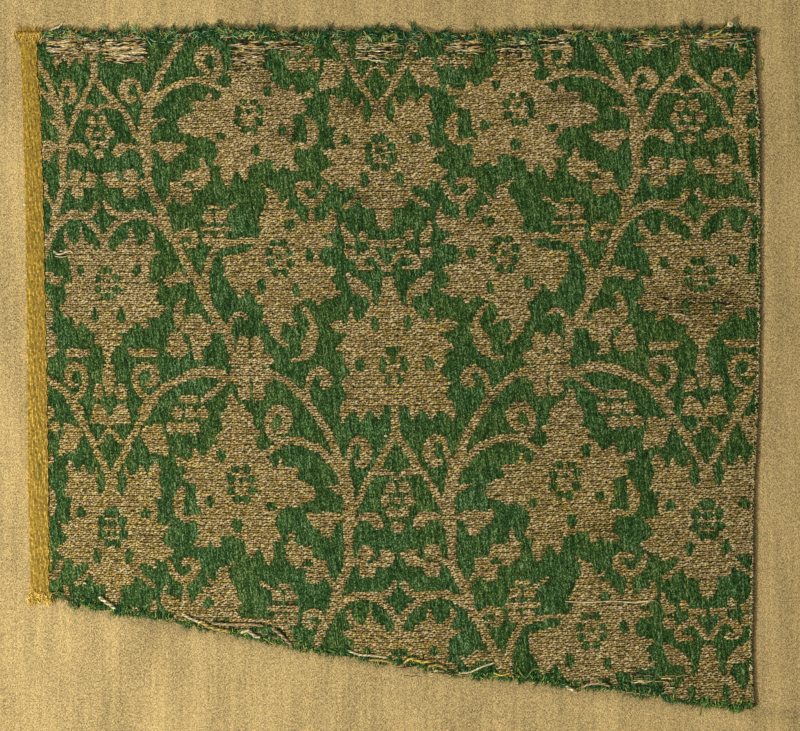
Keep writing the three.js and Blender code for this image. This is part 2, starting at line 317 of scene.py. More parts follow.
def main_vine(chart):
    """The vine that waves down through the whole repeat."""
    chart.stroke((31.5, -15.8, 1.6), (28.3, -14, 1.8), (25.8, -12, 1.9), (23.2, -9.6, 2), (21, -6.8, 2),
        (18.9, -3.6, 2), (17, -0.5, 2), (15.8, 2.5, 2), (15, 5, 2.6), (14, 8, 3), (13.2, 11, 3),
        (12.6, 13.5, 3), (12.3, 16, 3.1), (12.4, 20, 3.2), (12.8, 24, 2.4), (12.8, 28, 2.1),
        (13, 31.5, 2.2), (14.3, 34.5, 2.2), (15.8, 37.5, 2.5), (16.4, 40.5, 2.6), (17.3, 43.3, 2.3),
        (18.8, 45.4, 2.2), (20, 47.8, 2.2), (21.1, 50.4, 2.2), (22.6, 53, 2.2), (24, 55.4, 2.5),
        (25.1, 57.6, 3.4), (26.2, 60.5, 2.5), (27.8, 63.6, 2.2), (29.8, 66.4, 2.2), (31.3, 68.2, 2.2),
        (31.8, 70.5, 2.2), (32, 72.5, 2))
    chart.leaf((12.8, 11.3), (15.2, 11.8), (19, 11.5), (16.3, 12.8), (15, 14), (13.5, 14.3))


def vine_buds(chart):
    """The bud and the tulip that face each other across the vine."""
    chart.leaf((10.5, 19.2), (8.5, 18.2), (6, 17.9), (4.5, 18.7), (3.6, 20.6), (3.8, 22), (5.2, 22.6),
        (6.6, 21.2), (7.8, 20.2), (9.3, 20), (10.8, 21.5))
    chart.leaf((13.6, 19.8), (15, 18.6), (17, 18), (19, 18.1), (20.5, 18.9), (21.6, 18.6), (22.6, 17.8),
        (23.4, 19), (23, 20.5), (22, 21.4), (21.3, 22.2), (20, 22.5), (19.5, 24), (17.6, 24.6), (16.6, 23),
        (16, 21), (14.8, 20.6))


def petal_pair(chart):
    """The lobed flower that the vine carries towards the mirror line."""
    chart.leaf((0.6, 28.2), (2.5, 27.5), (4.6, 27.2), (4.7, 29), (5.2, 30.2), (6.2, 31), (7.2, 31.6),
        (4.5, 32), (2.3, 31.9), (1.4, 30.2))
    chart.dot(8.2, 28.2, 2, 1.9)
    chart.stroke((5, 31, 1.6), (8, 31.2, 1.6), (10, 30.6, 1.6), (13, 31, 1.7))
    chart.dot(8, 32.8, 2.1, 1.7)
    chart.stroke((1.3, 35.8, 1.3), (2.2, 37.5, 1.7), (4, 38.6, 1.8), (6.5, 39.1, 2), (9.5, 38.6, 2.1),
        (11.5, 39, 2.1), (13.5, 40, 2.2), (15.5, 41.5, 2.2))
    chart.stroke((0.2, 46, 1.7), (1, 44.2, 1.8), (2.2, 42.4, 1.8), (4.3, 40.7, 1.8), (7, 39.4, 1.8))


def leafy_scroll(chart):
    """The scroll with a round eye outside the vine."""
    chart.leaf((27.4, 23.2), (26.4, 23.8), (26.8, 26), (25.4, 27), (22.7, 26.8), (22.1, 28.6), (21.2, 30),
        (18.5, 30.1), (18.4, 32.6), (19.2, 33.8), (20.2, 35.5), (22.1, 36.2), (23.6, 35.6), (23.9, 34),
        (23.6, 32.7), (26.2, 32.7), (27.6, 31.4), (29.1, 30), (29.2, 26.6), (28, 25.6), (28, 23.8))
    chart.holes((23.3, 31.1, 1.6, 0.9))
    chart.stroke((19.2, 33.2, 1.4), (17.9, 35, 1.3), (16.6, 36.4, 1.4))


def berry_cluster(chart):
    """Rows of berries under a leaf."""
    chart.dot(29.6, 36.8, 1.7, 0.8)
    chart.stroke((32.3, 38, 1), (35.5, 36, 1))
    for u, s in ((27.9, 39.4), (31.3, 39.4), (27.7, 45), (30.9, 45)):
        chart.dot(u, s, 1.55)
    chart.stroke((26.3, 42.2, 1.6), (33, 42.2, 1.6))
    chart.dot(20.8, 84.7, 2.7, 1.2)
    for u, s in ((17.7, 88.2), (21, 88.2), (24.2, 88.1), (16, 91.8), (19.1, 91.8), (22, 91.8)):
        chart.dot(u, s, 1.5, 1.55)


def arching_branch(chart):
    """The branch that leaves the vine and ends in a bud above the great palmette."""
    chart.stroke((15.4, 7.2, 2), (17, 5.3, 1.9), (19, 3.2, 1.9), (21, 2, 1.9), (24, 0.9, 1.9), (27, 0.4, 2),
        (29.5, 0.7, 1.9), (31.4, 0, 1.7), (32.6, -1.6, 1.8), (32.9, -4, 2), (32, -6, 2.2), (30.5, -7, 2.4),
        (28.9, -6.8, 2.6), (28, -5.2, 2.8), (28.1, -3.4, 2.4), (29.1, -2.1, 1.9), (30.3, -1.8, 1.4))
    chart.stroke((28.5, 0.9, 1.5), (31, 2, 1.6), (33.5, 3.5, 1.7), (36.5, 5.6, 2))


def middle_palmette(chart):
    """The palmette with a rosette, under the fork's flowers."""
    chart.leaf((0, 48), (0, 46.5), (0.8, 46), (2, 47.6), (3.4, 48), (3.6, 45.8), (5, 45.8), (6.4, 45.2),
        (7.4, 41.7), (8.3, 44.6), (9.2, 46.4), (10.4, 46), (12, 44.4), (12.7, 41.8), (13.6, 43.4),
        (13.2, 45.4), (12, 47), (15.3, 48.1), (12.8, 49.2), (11.6, 50.5), (11.9, 52), (11.5, 54),
        (10.6, 55.4), (13.5, 55.8), (13.9, 57), (13, 58.5), (13.3, 60), (14, 61.3), (15.8, 61.9),
        (14.4, 63.3), (13.2, 64.9), (11.5, 64.4), (10.4, 65), (10.8, 66.5), (9.9, 68), (9, 66.4), (8, 65.2),
        (7, 66), (6, 67.6), (4.5, 68.3), (2.6, 68.6), (3.9, 69.4), (3.6, 71.2), (1.8, 72.2), (1, 74),
        (0, 74.5))
    chart.holes((2.4, 46.6, 1.2, 1.3), (8.3, 52.8, 1.3, 1.2), (3.8, 64, 1.3, 1.8), (0.9, 52.8, 1.3, 1),
        (2.7, 54.8, 1.1, 1.2), (2.8, 57.6, 1.2, 1.3), (0.9, 59.4, 1.4, 0.9), (0.8, 55.2, 0.5, 0.7),
        (0.8, 57.4, 0.5, 0.7))
    chart.stroke((0, 73.5, 1.5), (0, 75.5, 1.5), (0, 77, 2.6), (0, 79.5, 3.5), (0, 81.5, 2.6),
        (0, 83.5, 1.4))
    chart.dot(3.2, 83, 1.5, 2.1)


def lower_scrolls(chart):
    """The pair of scrolls that hold the stem, and the big arc that runs out from them."""
    chart.stroke((6, 72.9, 1.4), (7.6, 73.6, 2.1), (9.6, 73.4, 2.3), (12, 73.3, 2))
    chart.stroke((11.8, 85, 1.7), (9.4, 84.1, 1.7), (7.6, 82.3, 1.7), (6.9, 79.9, 1.7), (7.5, 77.7, 1.8),
        (9.5, 76.5, 1.9), (11.6, 77.2, 2), (12.2, 79.2, 2.2), (11.2, 81, 1.8), (9.8, 81.3, 1.1))
    chart.stroke((8, 88, 1.7), (10, 86, 1.8), (12, 84.2, 1.9), (14, 82.2, 2), (17, 80.6, 2),
        (20, 79.3, 2.1), (23, 78.3, 2.5), (26, 78.1, 2.8), (29, 78.6, 2.4), (31, 79.6, 1.6))
    chart.stroke((30.3, 80.4, 1.3), (28, 82.3, 1.5), (26, 83.8, 1.5), (24.3, 85, 1.2))
    chart.stroke((43, 45.4, 1.4), (38, 45.2, 1.3), (34, 45.7, 1.5), (31.5, 46.2, 1.6), (29.5, 47, 1.7),
        (28.2, 49, 1.7), (27, 51.5, 1.7), (26.2, 54, 1.8), (26, 57.5, 1.8))
    chart.stroke((19.2, 46.2, 1.6), (19.6, 44.2, 1.6), (21.6, 43.3, 1.8), (23.8, 43.8, 2),
        (24.2, 45.6, 1.9), (22.8, 46.7, 1.5), (21.7, 46, 1))
    chart.leaf((14, 53.6), (15.3, 54.7), (17, 54.1), (18.3, 53), (20, 53.2), (21.8, 54.4), (23.6, 54.6),
        (21.8, 55.8), (19.2, 55.5), (18, 56.5), (16.3, 57), (15.2, 55.8))


def eye_scroll(chart):
    """The leafy scroll under the vine's knot."""
    chart.stroke((20.3, 60.2, 1), (19.1, 61.5, 2), (18.7, 63.5, 2.6), (19.1, 66, 2.6), (20.2, 67.6, 2.1))
    chart.dot(23, 65.6, 2.7, 2.1)
    chart.leaf((20.4, 67), (23.8, 67), (24.4, 66.5), (30, 66.1), (31.4, 67.8), (28.9, 68.5), (27.2, 68.4),
        (26.9, 70), (26.2, 71.5), (24.3, 72.5), (24.4, 73.7), (25.2, 75), (23, 75), (21.9, 73.6),
        (21.8, 72), (21.9, 70), (20.8, 68.5))
    chart.leaf((15.8, 69.5), (16.9, 68), (19.2, 67.8), (19.6, 70.3), (21, 71.4), (20.7, 73.4), (18.8, 74.8),
        (16.9, 74.4), (15, 72.4), (16.2, 71.6))
    chart.stroke((31.9, 67.5, 1.2), (32.3, 65.7, 1.2), (33.6, 64, 1.3), (35, 63.4, 1.3), (36.3, 64.7, 1))


def round_flower(chart):
    """The eight-lobed flower that ends each branch, its petals parted by thin lines of ground."""
    for u, s, across, down in ((35.3, 71.8, 1.8, 2.7), (38.9, 71.8, 1.8, 2.7), (33.2, 75.2, 1.9, 1.7),
        (41.1, 75, 1.9, 1.7), (33.2, 79, 1.9, 1.9), (41, 79, 1.9, 1.9), (35.3, 82.2, 1.8, 2.9),
        (38.9, 82.2, 1.8, 2.9), (37.1, 77, 2.9, 2.9)):
        chart.dot(u, s, across, down)
    for start, end in (((37.1, 69), (37.1, 74.4)), ((37.1, 79.6), (37.1, 85)), ((31, 77.1), (34.2, 77.1)),
        ((39.9, 77.1), (43, 77.1))):
        chart.stroke(start + (0.55,), end + (0.55,), gold=False)


def crown_and_strands(chart):
    """The crown over the lower palmette, and the two strands that meet on the mirror line."""
    chart.leaf((0, 90), (0.6, 89), (1.2, 87.4), (2.5, 86), (3.8, 85.9), (4.8, 87), (5.4, 89.3), (5.4, 91),
        (0, 91.2))
    chart.stroke((0, 91, 1.3), (0, 92.8, 1.3))
    chart.stroke((0.2, 92.7, 1.1), (1.3, 93.4, 1.1), (2.1, 94.9, 1.1), (3.5, 95.6, 1.2), (4.9, 95.3, 1.2))
    chart.stroke((10.9, 85.8, 1.9), (9.3, 88.5, 1.9), (7.7, 91, 1.9), (6.5, 93, 1.8), (5.2, 95, 1.8),
        (4.2, 97.5, 1.7), (3, 99.5, 1.7), (1.8, 101.5, 1.6), (0.9, 103.2, 1.6), (0.3, 105.5, 1.8))
    chart.leaf((9.7, 91.5), (11.7, 91), (13, 90.7), (14, 92), (13.4, 93.3), (14.6, 94.5), (15.1, 97),
        (14.8, 99.3), (13.6, 98.6), (12.1, 98), (10.2, 98.2), (9.6, 96.5), (8.6, 95), (7.9, 92.5))


def lower_palmette(chart):
    """The great palmette that hangs from the strands."""
    chart.leaf((0, 104), (2, 104), (3.6, 103.2), (4.1, 101), (4.8, 103.3), (6, 104), (7, 103), (7.9, 100.6),
        (8.9, 102.8), (9.7, 103.8), (10.5, 101.5), (12, 100.2), (13, 102), (12.2, 104.5), (13, 106.5),
        (13.4, 109), (11.2, 109.7), (11.7, 111), (12, 113), (11.5, 115.3), (13.7, 116), (15.5, 115.6),
        (14.7, 117), (12.7, 119.4), (13.7, 120.7), (16.4, 122.4), (14.6, 123.9), (13.1, 125.3),
        (11.6, 124.6), (11.1, 127), (9.1, 126.1), (7.1, 126.1), (6.2, 127.8), (5.7, 130.2), (4.4, 131.6),
        (2.8, 131), (1.9, 132.2), (2.2, 134), (1.3, 136), (0, 136.8))
    chart.holes((2.85, 105.6, 1.3, 3), (8.8, 113.2, 1.5, 1.4), (4.4, 124, 1.2, 1.9), (0.9, 113, 1.4, 1.2),
        (2.8, 115.4, 1.2, 1.6), (2.9, 118.5, 1.3, 1.3), (1.3, 120.8, 1.3, 1.1), (0.6, 116, 0.6, 1.1),
        (0.7, 118.4, 0.6, 0.7))
    chart.stroke((6.4, 127.6, 1.2), (8, 129.3, 1.3), (10.4, 131, 1.2))
    chart.stroke((14.9, 125.8, 1.5), (15.9, 127.9, 1.7), (17.4, 129.4, 2), (19.4, 129.4, 2.2),
        (21.3, 127.7, 2.3), (21.6, 125.9, 2.2), (20.4, 124.9, 2), (18.4, 125.3, 1.8))


def great_palmette(chart):
    """The crowned palmette that leans off the arching branch."""
    chart.leaf((30.9, 83.4), (32.2, 83.5), (33.4, 85.5), (35.9, 87.3), (37.1, 88.5), (37.3, 91), (39.5, 93),
        (37.8, 94), (38, 96.3), (40.8, 99), (42, 101.4), (43.2, 101.2), (43.9, 97.8), (45.4, 101.4),
        (49, 101), (48.2, 104), (52, 105.6), (52.8, 107.5), (52.4, 109.6), (49.9, 109.8), (47.9, 111.3),
        (45.8, 110.8), (43.6, 112), (42.8, 113.5), (42.2, 115.5), (43.1, 117.5), (44.3, 118.7),
        (43.2, 119.7), (41.3, 119.9), (42, 121.5), (42, 123), (40.6, 126), (39.6, 124.5), (38.8, 122.4),
        (38, 121.4), (37, 122.4), (36, 124.3), (35, 123), (34.5, 119.8), (31.8, 119), (30, 118.3),
        (28, 118.6), (28.2, 121), (26.8, 121.8), (25.6, 119.6), (24.6, 121.2), (22.2, 121.6), (21.2, 120.8),
        (22.6, 118.4), (22, 114.9), (23.8, 113.2), (22.3, 111), (22.2, 105.8), (19.2, 105), (18.8, 103.4),
        (20.2, 101.6), (17.2, 101.2), (16.7, 98), (19.5, 100), (21.4, 99.2), (21.6, 96.5), (23.6, 98.4),
        (25.2, 98.2), (26.4, 95.8), (28.3, 95.4), (27.3, 93.6), (29.8, 92), (28.6, 89), (30.6, 86.5))
    chart.holes((28.7, 98.4, 1.1, 1.9))
    chart.stroke((18.8, 106.6, 1.1), (17.8, 108.6, 2.4), (17.4, 110.8, 2.8), (17.7, 113, 2.3),
        (19, 114.4, 1.6), (22, 114, 1.6))
    chart.holes((32.3, 101.9, 1.2, 1), (35.2, 101.8, 1.2, 1), (31, 104.2, 1.3, 1.2),
        (36.5, 104.3, 1.3, 1.2), (33.8, 104.6, 0.9, 0.8), (31.2, 107.2, 1.3, 1.3), (36.7, 107.1, 1.2, 1.3),
        (32.7, 109.4, 1.1, 1.2), (35.1, 109.3, 1.1, 1.2), (25.5, 110, 1.3, 1.4), (32.5, 115.7, 1.4, 1.8),
        (41.5, 111, 1.3, 1.2))


def side_palmette(chart):
    """The palmette that leans the other way, on the next branch down."""
    chart.leaf((31.8, 124.8), (30, 125.8), (28.2, 126.6), (27.2, 127.6), (27.2, 129.8), (26, 129.4),
        (24.3, 127.8), (24.9, 129.8), (25.8, 130.9), (24.4, 131.2), (22.9, 131), (23.6, 132.5),
        (22.2, 132.8), (21.5, 134.4), (20.4, 135.4), (19.6, 133), (19.3, 130.8), (18.5, 130.4), (18.2, 133),
        (17.8, 135.2), (16.4, 134), (13.8, 133.2), (14, 131), (12.8, 132.2), (12.3, 134.2), (12.8, 136.2),
        (14.3, 137.4), (16.4, 138.1), (14.4, 139.3), (13.4, 140.3), (16, 140.6), (17, 141.6), (17.6, 143.4),
        (16.6, 145.4), (13, 146.3), (13.8, 147.7), (15.2, 148.6), (14, 150), (14.2, 151.3), (12.2, 151.8),
        (13.4, 152.9), (15.2, 153.8), (17.2, 153.2), (17.6, 154.6), (18.6, 155.9), (19.4, 154.2),
        (21.4, 153.4), (22.8, 154.6), (25.4, 155.8), (25.6, 157.6), (25.4, 159.4), (24.2, 160.6),
        (26.4, 160.4), (27.4, 159.4), (28.2, 160), (28.8, 162.4), (28.6, 164), (26.6, 165.8), (28.6, 165.6),
        (30.4, 163.8), (31.6, 162.4), (31.4, 160.8), (33.6, 159.8), (33, 157), (32.8, 155.4), (34.6, 155),
        (35.4, 153), (36.4, 151), (37.6, 151.8), (38.4, 153.4), (39.8, 153.6), (40.6, 151.4), (41.6, 149.6),
        (43, 148.2), (43, 143.4), (39, 142.6), (36.4, 142.2), (34.6, 140.2), (33.4, 139), (32, 136.8),
        (33.4, 135.4), (32.6, 133.6), (31.8, 131.6), (30.4, 129.4), (30, 127))
    chart.stroke((31.5, 138.9, 1), (35, 139.1, 1), (39, 139.2, 1), (43, 139.8, 1.2))
    chart.holes((24.8, 135.2, 1.4, 1.5), (26.8, 140, 1.2, 1), (29.3, 139.9, 1.1, 1),
        (30.7, 142.2, 1.2, 1.1), (28, 143.2, 0.9, 0.8), (25.4, 142.4, 1.1, 1), (25.3, 144.9, 1.1, 1.1),
        (30.5, 144.8, 1.1, 1.1), (26.8, 147.1, 1.1, 1), (29.3, 147.1, 1.1, 1), (20.2, 142.8, 1.3, 1.6),
        (24.2, 151.8, 1.1, 1.6), (33.2, 150.6, 1.3, 1.8))
    chart.stroke((23.2, 155.7, 1.2), (21.4, 157.6, 1.3), (20.2, 160.2, 1.8), (20.6, 162.8, 3),
        (21.6, 165.4, 3.6), (22.3, 167.4, 2.4), (24, 168.7, 1.4), (26.2, 169, 0.9))


def small_leaves(chart):
    """The little crown of scrolls and leaves between two palmettes on the mirror line."""
    chart.dot(5.8, 138.1, 1.15, 1.35)
    chart.leaf((0.35, 139.2), (2.6, 138.9), (4.7, 139.3), (4.6, 140.5), (3.6, 141.1), (2, 140.8),
        (0.35, 141))
    chart.stroke((3.9, 140.6, 1.2), (3.7, 142.3, 1.3))
    chart.leaf((10.3, 134.2), (11.5, 135.2), (11.3, 137.2), (10.4, 139.9), (8.3, 140.4), (7.8, 138.5),
        (9.3, 137.4), (10.2, 135.8))
    chart.leaf((11, 141.2), (10.8, 143.3), (9.4, 144.1), (8.1, 143.7), (7.8, 141.6), (9.4, 140.9))
    chart.stroke((0.4, 146.7, 1.2), (1.9, 144.2, 1.4), (3.4, 142.4, 1.5), (5.4, 142.7, 1.7), (7, 144.3, 2),
        (7, 145.8, 1.9), (5.4, 146.2, 1.2), (4.1, 146.2, 1))
    chart.leaf((11, 146.8), (9.4, 147.8), (6.7, 149.3), (4.5, 151.6), (4.4, 152.6), (5.3, 153),
        (8.9, 152.8), (10.5, 149.9))
    chart.stroke((4.9, 152.6, 1.1), (4.7, 155.4, 1.1))


def upper_palmette(chart):
    """The palmette on the mirror line above the fork, whose stem becomes the forked stem."""
    chart.leaf((0, 148.1), (1, 148.2), (1.6, 149.4), (1.8, 152), (2.3, 153), (0, 153.4))
    chart.leaf((0, 153), (2.2, 152.8), (2.7, 155.4), (4.5, 155.8), (5.8, 156.2), (7.2, 158.6), (8.5, 159.8),
        (9.6, 158.5), (9.7, 155.9), (10.5, 156.3), (10.9, 159.5), (11.4, 160.3), (12.5, 159.2),
        (14.5, 159.2), (16.2, 160.2), (14.8, 161.6), (12.8, 162.3), (11.4, 162.9), (13.4, 164.6),
        (14.8, 166.4), (13, 167), (12.4, 168.6), (12.7, 169.8), (10.9, 172.2), (13.6, 174.5), (13, 176.4),
        (12.1, 177.8), (13.8, 179.4), (14.6, 182), (13.7, 184.6), (12.6, 182.5), (10.6, 181.1),
        (9.6, 182.5), (8.8, 183.9), (7.6, 182), (6, 180.8), (5.2, 182.3), (4.2, 183.3), (3.3, 181),
        (2.8, 180.2), (0, 180.2))
    chart.holes((4.1, 160, 1.1, 1.9))
    chart.leaf((0, 165.9), (2.1, 165.9), (1.7, 167.4), (0.8, 168.4), (0.5, 169.8), (0, 169.9), gold=False)
    chart.holes((2.65, 170.1, 1.1, 2.2))
    chart.stroke((1.2, 172.7, 1.2), (1.6, 174.2, 1.5), gold=False)
    chart.holes((8.7, 170.2, 1.4, 1.8))
    chart.stroke((22.6, 178.3, 1.4), (22.5, 175.6, 1.5), (21.4, 173, 1.6), (19.4, 171.6, 1.7),
        (17.6, 172.6, 2.2), (17.4, 174.4, 2.8), (18.6, 175.2, 1.6))


def charted_pattern():
    """The whole chart, each motif painted over those before it."""
    chart = Chart()
    for motif in (forked_stem, seed_flower, curled_bud, main_vine, vine_buds, petal_pair, leafy_scroll,
                  berry_cluster, arching_branch, middle_palmette, lower_scrolls, eye_scroll, round_flower,
                  crown_and_strands, great_palmette, lower_palmette, side_palmette, small_leaves,
                  upper_palmette):
        motif(chart)
    return chart


def on_line(line, v):
    """Where a mirror line lies on the cloth at pattern height v."""
    rows = np.array(line)
    return np.interp(v, rows[:, 0], rows[:, 1]), np.interp(v, rows[:, 0], rows[:, 2])


def between_lines(v):
    """The stretches of the pattern from line to line at height v: p, x and y at both ends of each."""
    lines = ((-SELVAGE_STRIP, SELVAGE_LINE), (0.0, LEFT_LINE), (HALF_REPEAT, MIDDLE_LINE),
             (2 * HALF_REPEAT, RIGHT_LINE))
    spots = [(p, *on_line(line, v)) for p, line in lines]
    return list(zip(spots, spots[1:]))


def cloth_from_pattern(p, v):
    """x and y on the cloth of p across from the left mirror line and v down the pattern."""
    x, y = np.zeros_like(p), np.zeros_like(p)
    for number, (start, end) in enumerate(between_lines(v)):
        here = (p >= start[0]) | (number == 0)
        share = (p - start[0]) / (end[0] - start[0])
        x = np.where(here, start[1] + share * (end[1] - start[1]), x)
        y = np.where(here, start[2] + share * (end[2] - start[2]), y)
    return x, y


def pattern_from_cloth(x, y):
    """The inverse of cloth_from_pattern, found in a few steps."""
    v = PATTERN_LEVEL - y
    for _ in range(INVERSE_STEPS):
        p = np.zeros_like(x)
        for number, (start, end) in enumerate(between_lines(v)):
            here = (x >= start[1]) | (number == 0)
            p = np.where(here, start[0] + (x - start[1]) / (end[1] - start[1]) * (end[0] - start[0]), p)
        v = v + cloth_from_pattern(p, v)[1] - y
    return p, v


def edge_y(edge, x):
    """The height of the upper or lower edge at x."""
    rows = np.array(edge)
    return np.interp(x, rows[:, 0], rows[:, 1])


def edge_x(edge, y):
    """Where the edge down one side lies at y."""
    rows = np.array(edge)[::-1]
    return np.interp(y, rows[:, 1], rows[:, 0])


def cockle(x, y):
    """Old cloth lies in shallow cockles."""
    slow = np.sin(x / 17 + 0.6) * np.cos(y / 21 - 0.4)
    quick = 0.5 * np.sin((x + 0.6 * y) / 9.5)
    return COCKLE_HEIGHT * (1.5 + slow + quick)


def silk_top(x, y):
    """The cloth's face, thinner where its cut edges are pressed down."""
    x, y = np.asarray(x, float), np.asarray(y, float)
    inside = np.minimum(edge_x(CUT_EDGE, y) - x, x - edge_x(SELVAGE_EDGE, y))
    inside = np.minimum(inside, np.minimum(edge_y(UPPER_EDGE, x) - y, y - edge_y(LOWER_EDGE, x)))
    share = np.clip(inside / EDGE_REACH, 0, 1)
    share = 1 - EDGE_FALL * (1 - share) ** 2
    return SILK_UNDERSIDE + share * (SILK_THICKNESS + cockle(x, y))


def mesh_piece(name, vertices, faces, material, colours=None):
    """A smooth-shaded piece of the scene from a mesh in millimetres, riding on the part."""
    mesh = bpy.data.meshes.new(name)
    vertices = np.asarray(vertices, float) * MM
    faces = np.asarray(faces, np.int32)
    mesh.vertices.add(len(vertices))
    mesh.vertices.foreach_set("co", vertices.ravel())
    corners = faces.shape[1]
    mesh.loops.add(faces.size)
    mesh.loops.foreach_set("vertex_index", faces.ravel())
    mesh.polygons.add(len(faces))
    mesh.polygons.foreach_set("loop_start", np.arange(0, faces.size, corners, dtype=np.int32))
    mesh.polygons.foreach_set("use_smooth", np.full(len(faces), True))
    mesh.update(calc_edges=True)
    mesh.validate()
    if colours is not None:
        layer = mesh.color_attributes.new("Colour", "FLOAT_COLOR", "POINT")
        layer.data.foreach_set("color", np.column_stack((colours, np.ones(len(colours)))).ravel())
    flat_map(mesh, "OFBake", vertices[:, 0], vertices[:, 1])
    mesh.materials.append(material)
    piece = bpy.data.objects.new(name, mesh)
    bpy.context.scene.collection.objects.link(piece)
    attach(piece, "root")
    return piece


def flat_map(mesh, name, across, up):
    """A UV map from two numbers a vertex, fitted into the unit square."""
    uv = np.column_stack((across, up))
    low = uv.min(0)
    uv = (uv - low) / max((uv.max(0) - low).max(), 1e-9)
    index = np.zeros(len(mesh.loops), np.int32)
    mesh.loops.foreach_get("vertex_index", index)
    layer = mesh.uv_layers.new(name=name)
    layer.data.foreach_set("uv", uv[index].ravel())


def grid_faces(rows, columns, start=0, flip=False):
    """Quads of a grid of rows by columns points."""
    index = start + np.arange(rows * columns).reshape(rows, columns)
    faces = np.stack((index[:-1, :-1], index[1:, :-1], index[1:, 1:], index[:-1, 1:]), axis=-1).reshape(-1, 4)
    return faces[:, ::-1] if flip else faces


class Strands:
    """Fine yarns, joined into one mesh."""

    def __init__(self):
        self.points, self.triangles, self.colours = [], [], []
        self.count = 0

    def add(self, track, radius, colour, sides=5):
        """A tube along a track, pointed at both ends where the radius runs out."""
        track = np.asarray(track, float)
        radius = np.broadcast_to(np.asarray(radius, float), len(track))
        ahead = np.gradient(track, axis=0)
        ahead /= np.linalg.norm(ahead, axis=1)[:, None] + 1e-9
        across = np.cross(ahead, (0, 0, 1))
        across /= np.linalg.norm(across, axis=1)[:, None] + 1e-9
        up = np.cross(across, ahead)
        turn = 2 * math.pi * np.arange(sides) / sides
        cosine, sine = np.cos(turn)[None, :, None], np.sin(turn)[None, :, None]
        ring = cosine * across[:, None, :] + sine * up[:, None, :]
        points = track[:, None, :] + ring * radius[:, None, None]
        n = len(track)
        index = self.count + np.arange(n * sides).reshape(n, sides)
        beside = np.roll(index, -1, axis=1)
        quads = np.stack((index[:-1], beside[:-1], beside[1:], index[1:]), axis=-1).reshape(-1, 4)
        start_tip, end_tip = self.count + n * sides, self.count + n * sides + 1
        self.points.append(np.vstack((points.reshape(-1, 3), track[0], track[-1])))
        self.triangles += [quads[:, (0, 1, 2)], quads[:, (0, 2, 3)]]
        self.triangles.append(np.column_stack((beside[0], index[0], np.full(sides, start_tip))))
        self.triangles.append(np.column_stack((index[-1], beside[-1], np.full(sides, end_tip))))
        shade = np.broadcast_to(np.asarray(colour, float), (n, 3))
        self.colours.append(np.vstack((np.repeat(shade, sides, axis=0), shade[0], shade[-1])))
        self.count += n * sides + 2

    def piece(self, name, material):
        """All the yarns as one piece of the silk."""
        return mesh_piece(name, np.vstack(self.points), np.vstack(self.triangles), material,
                          np.vstack(self.colours))


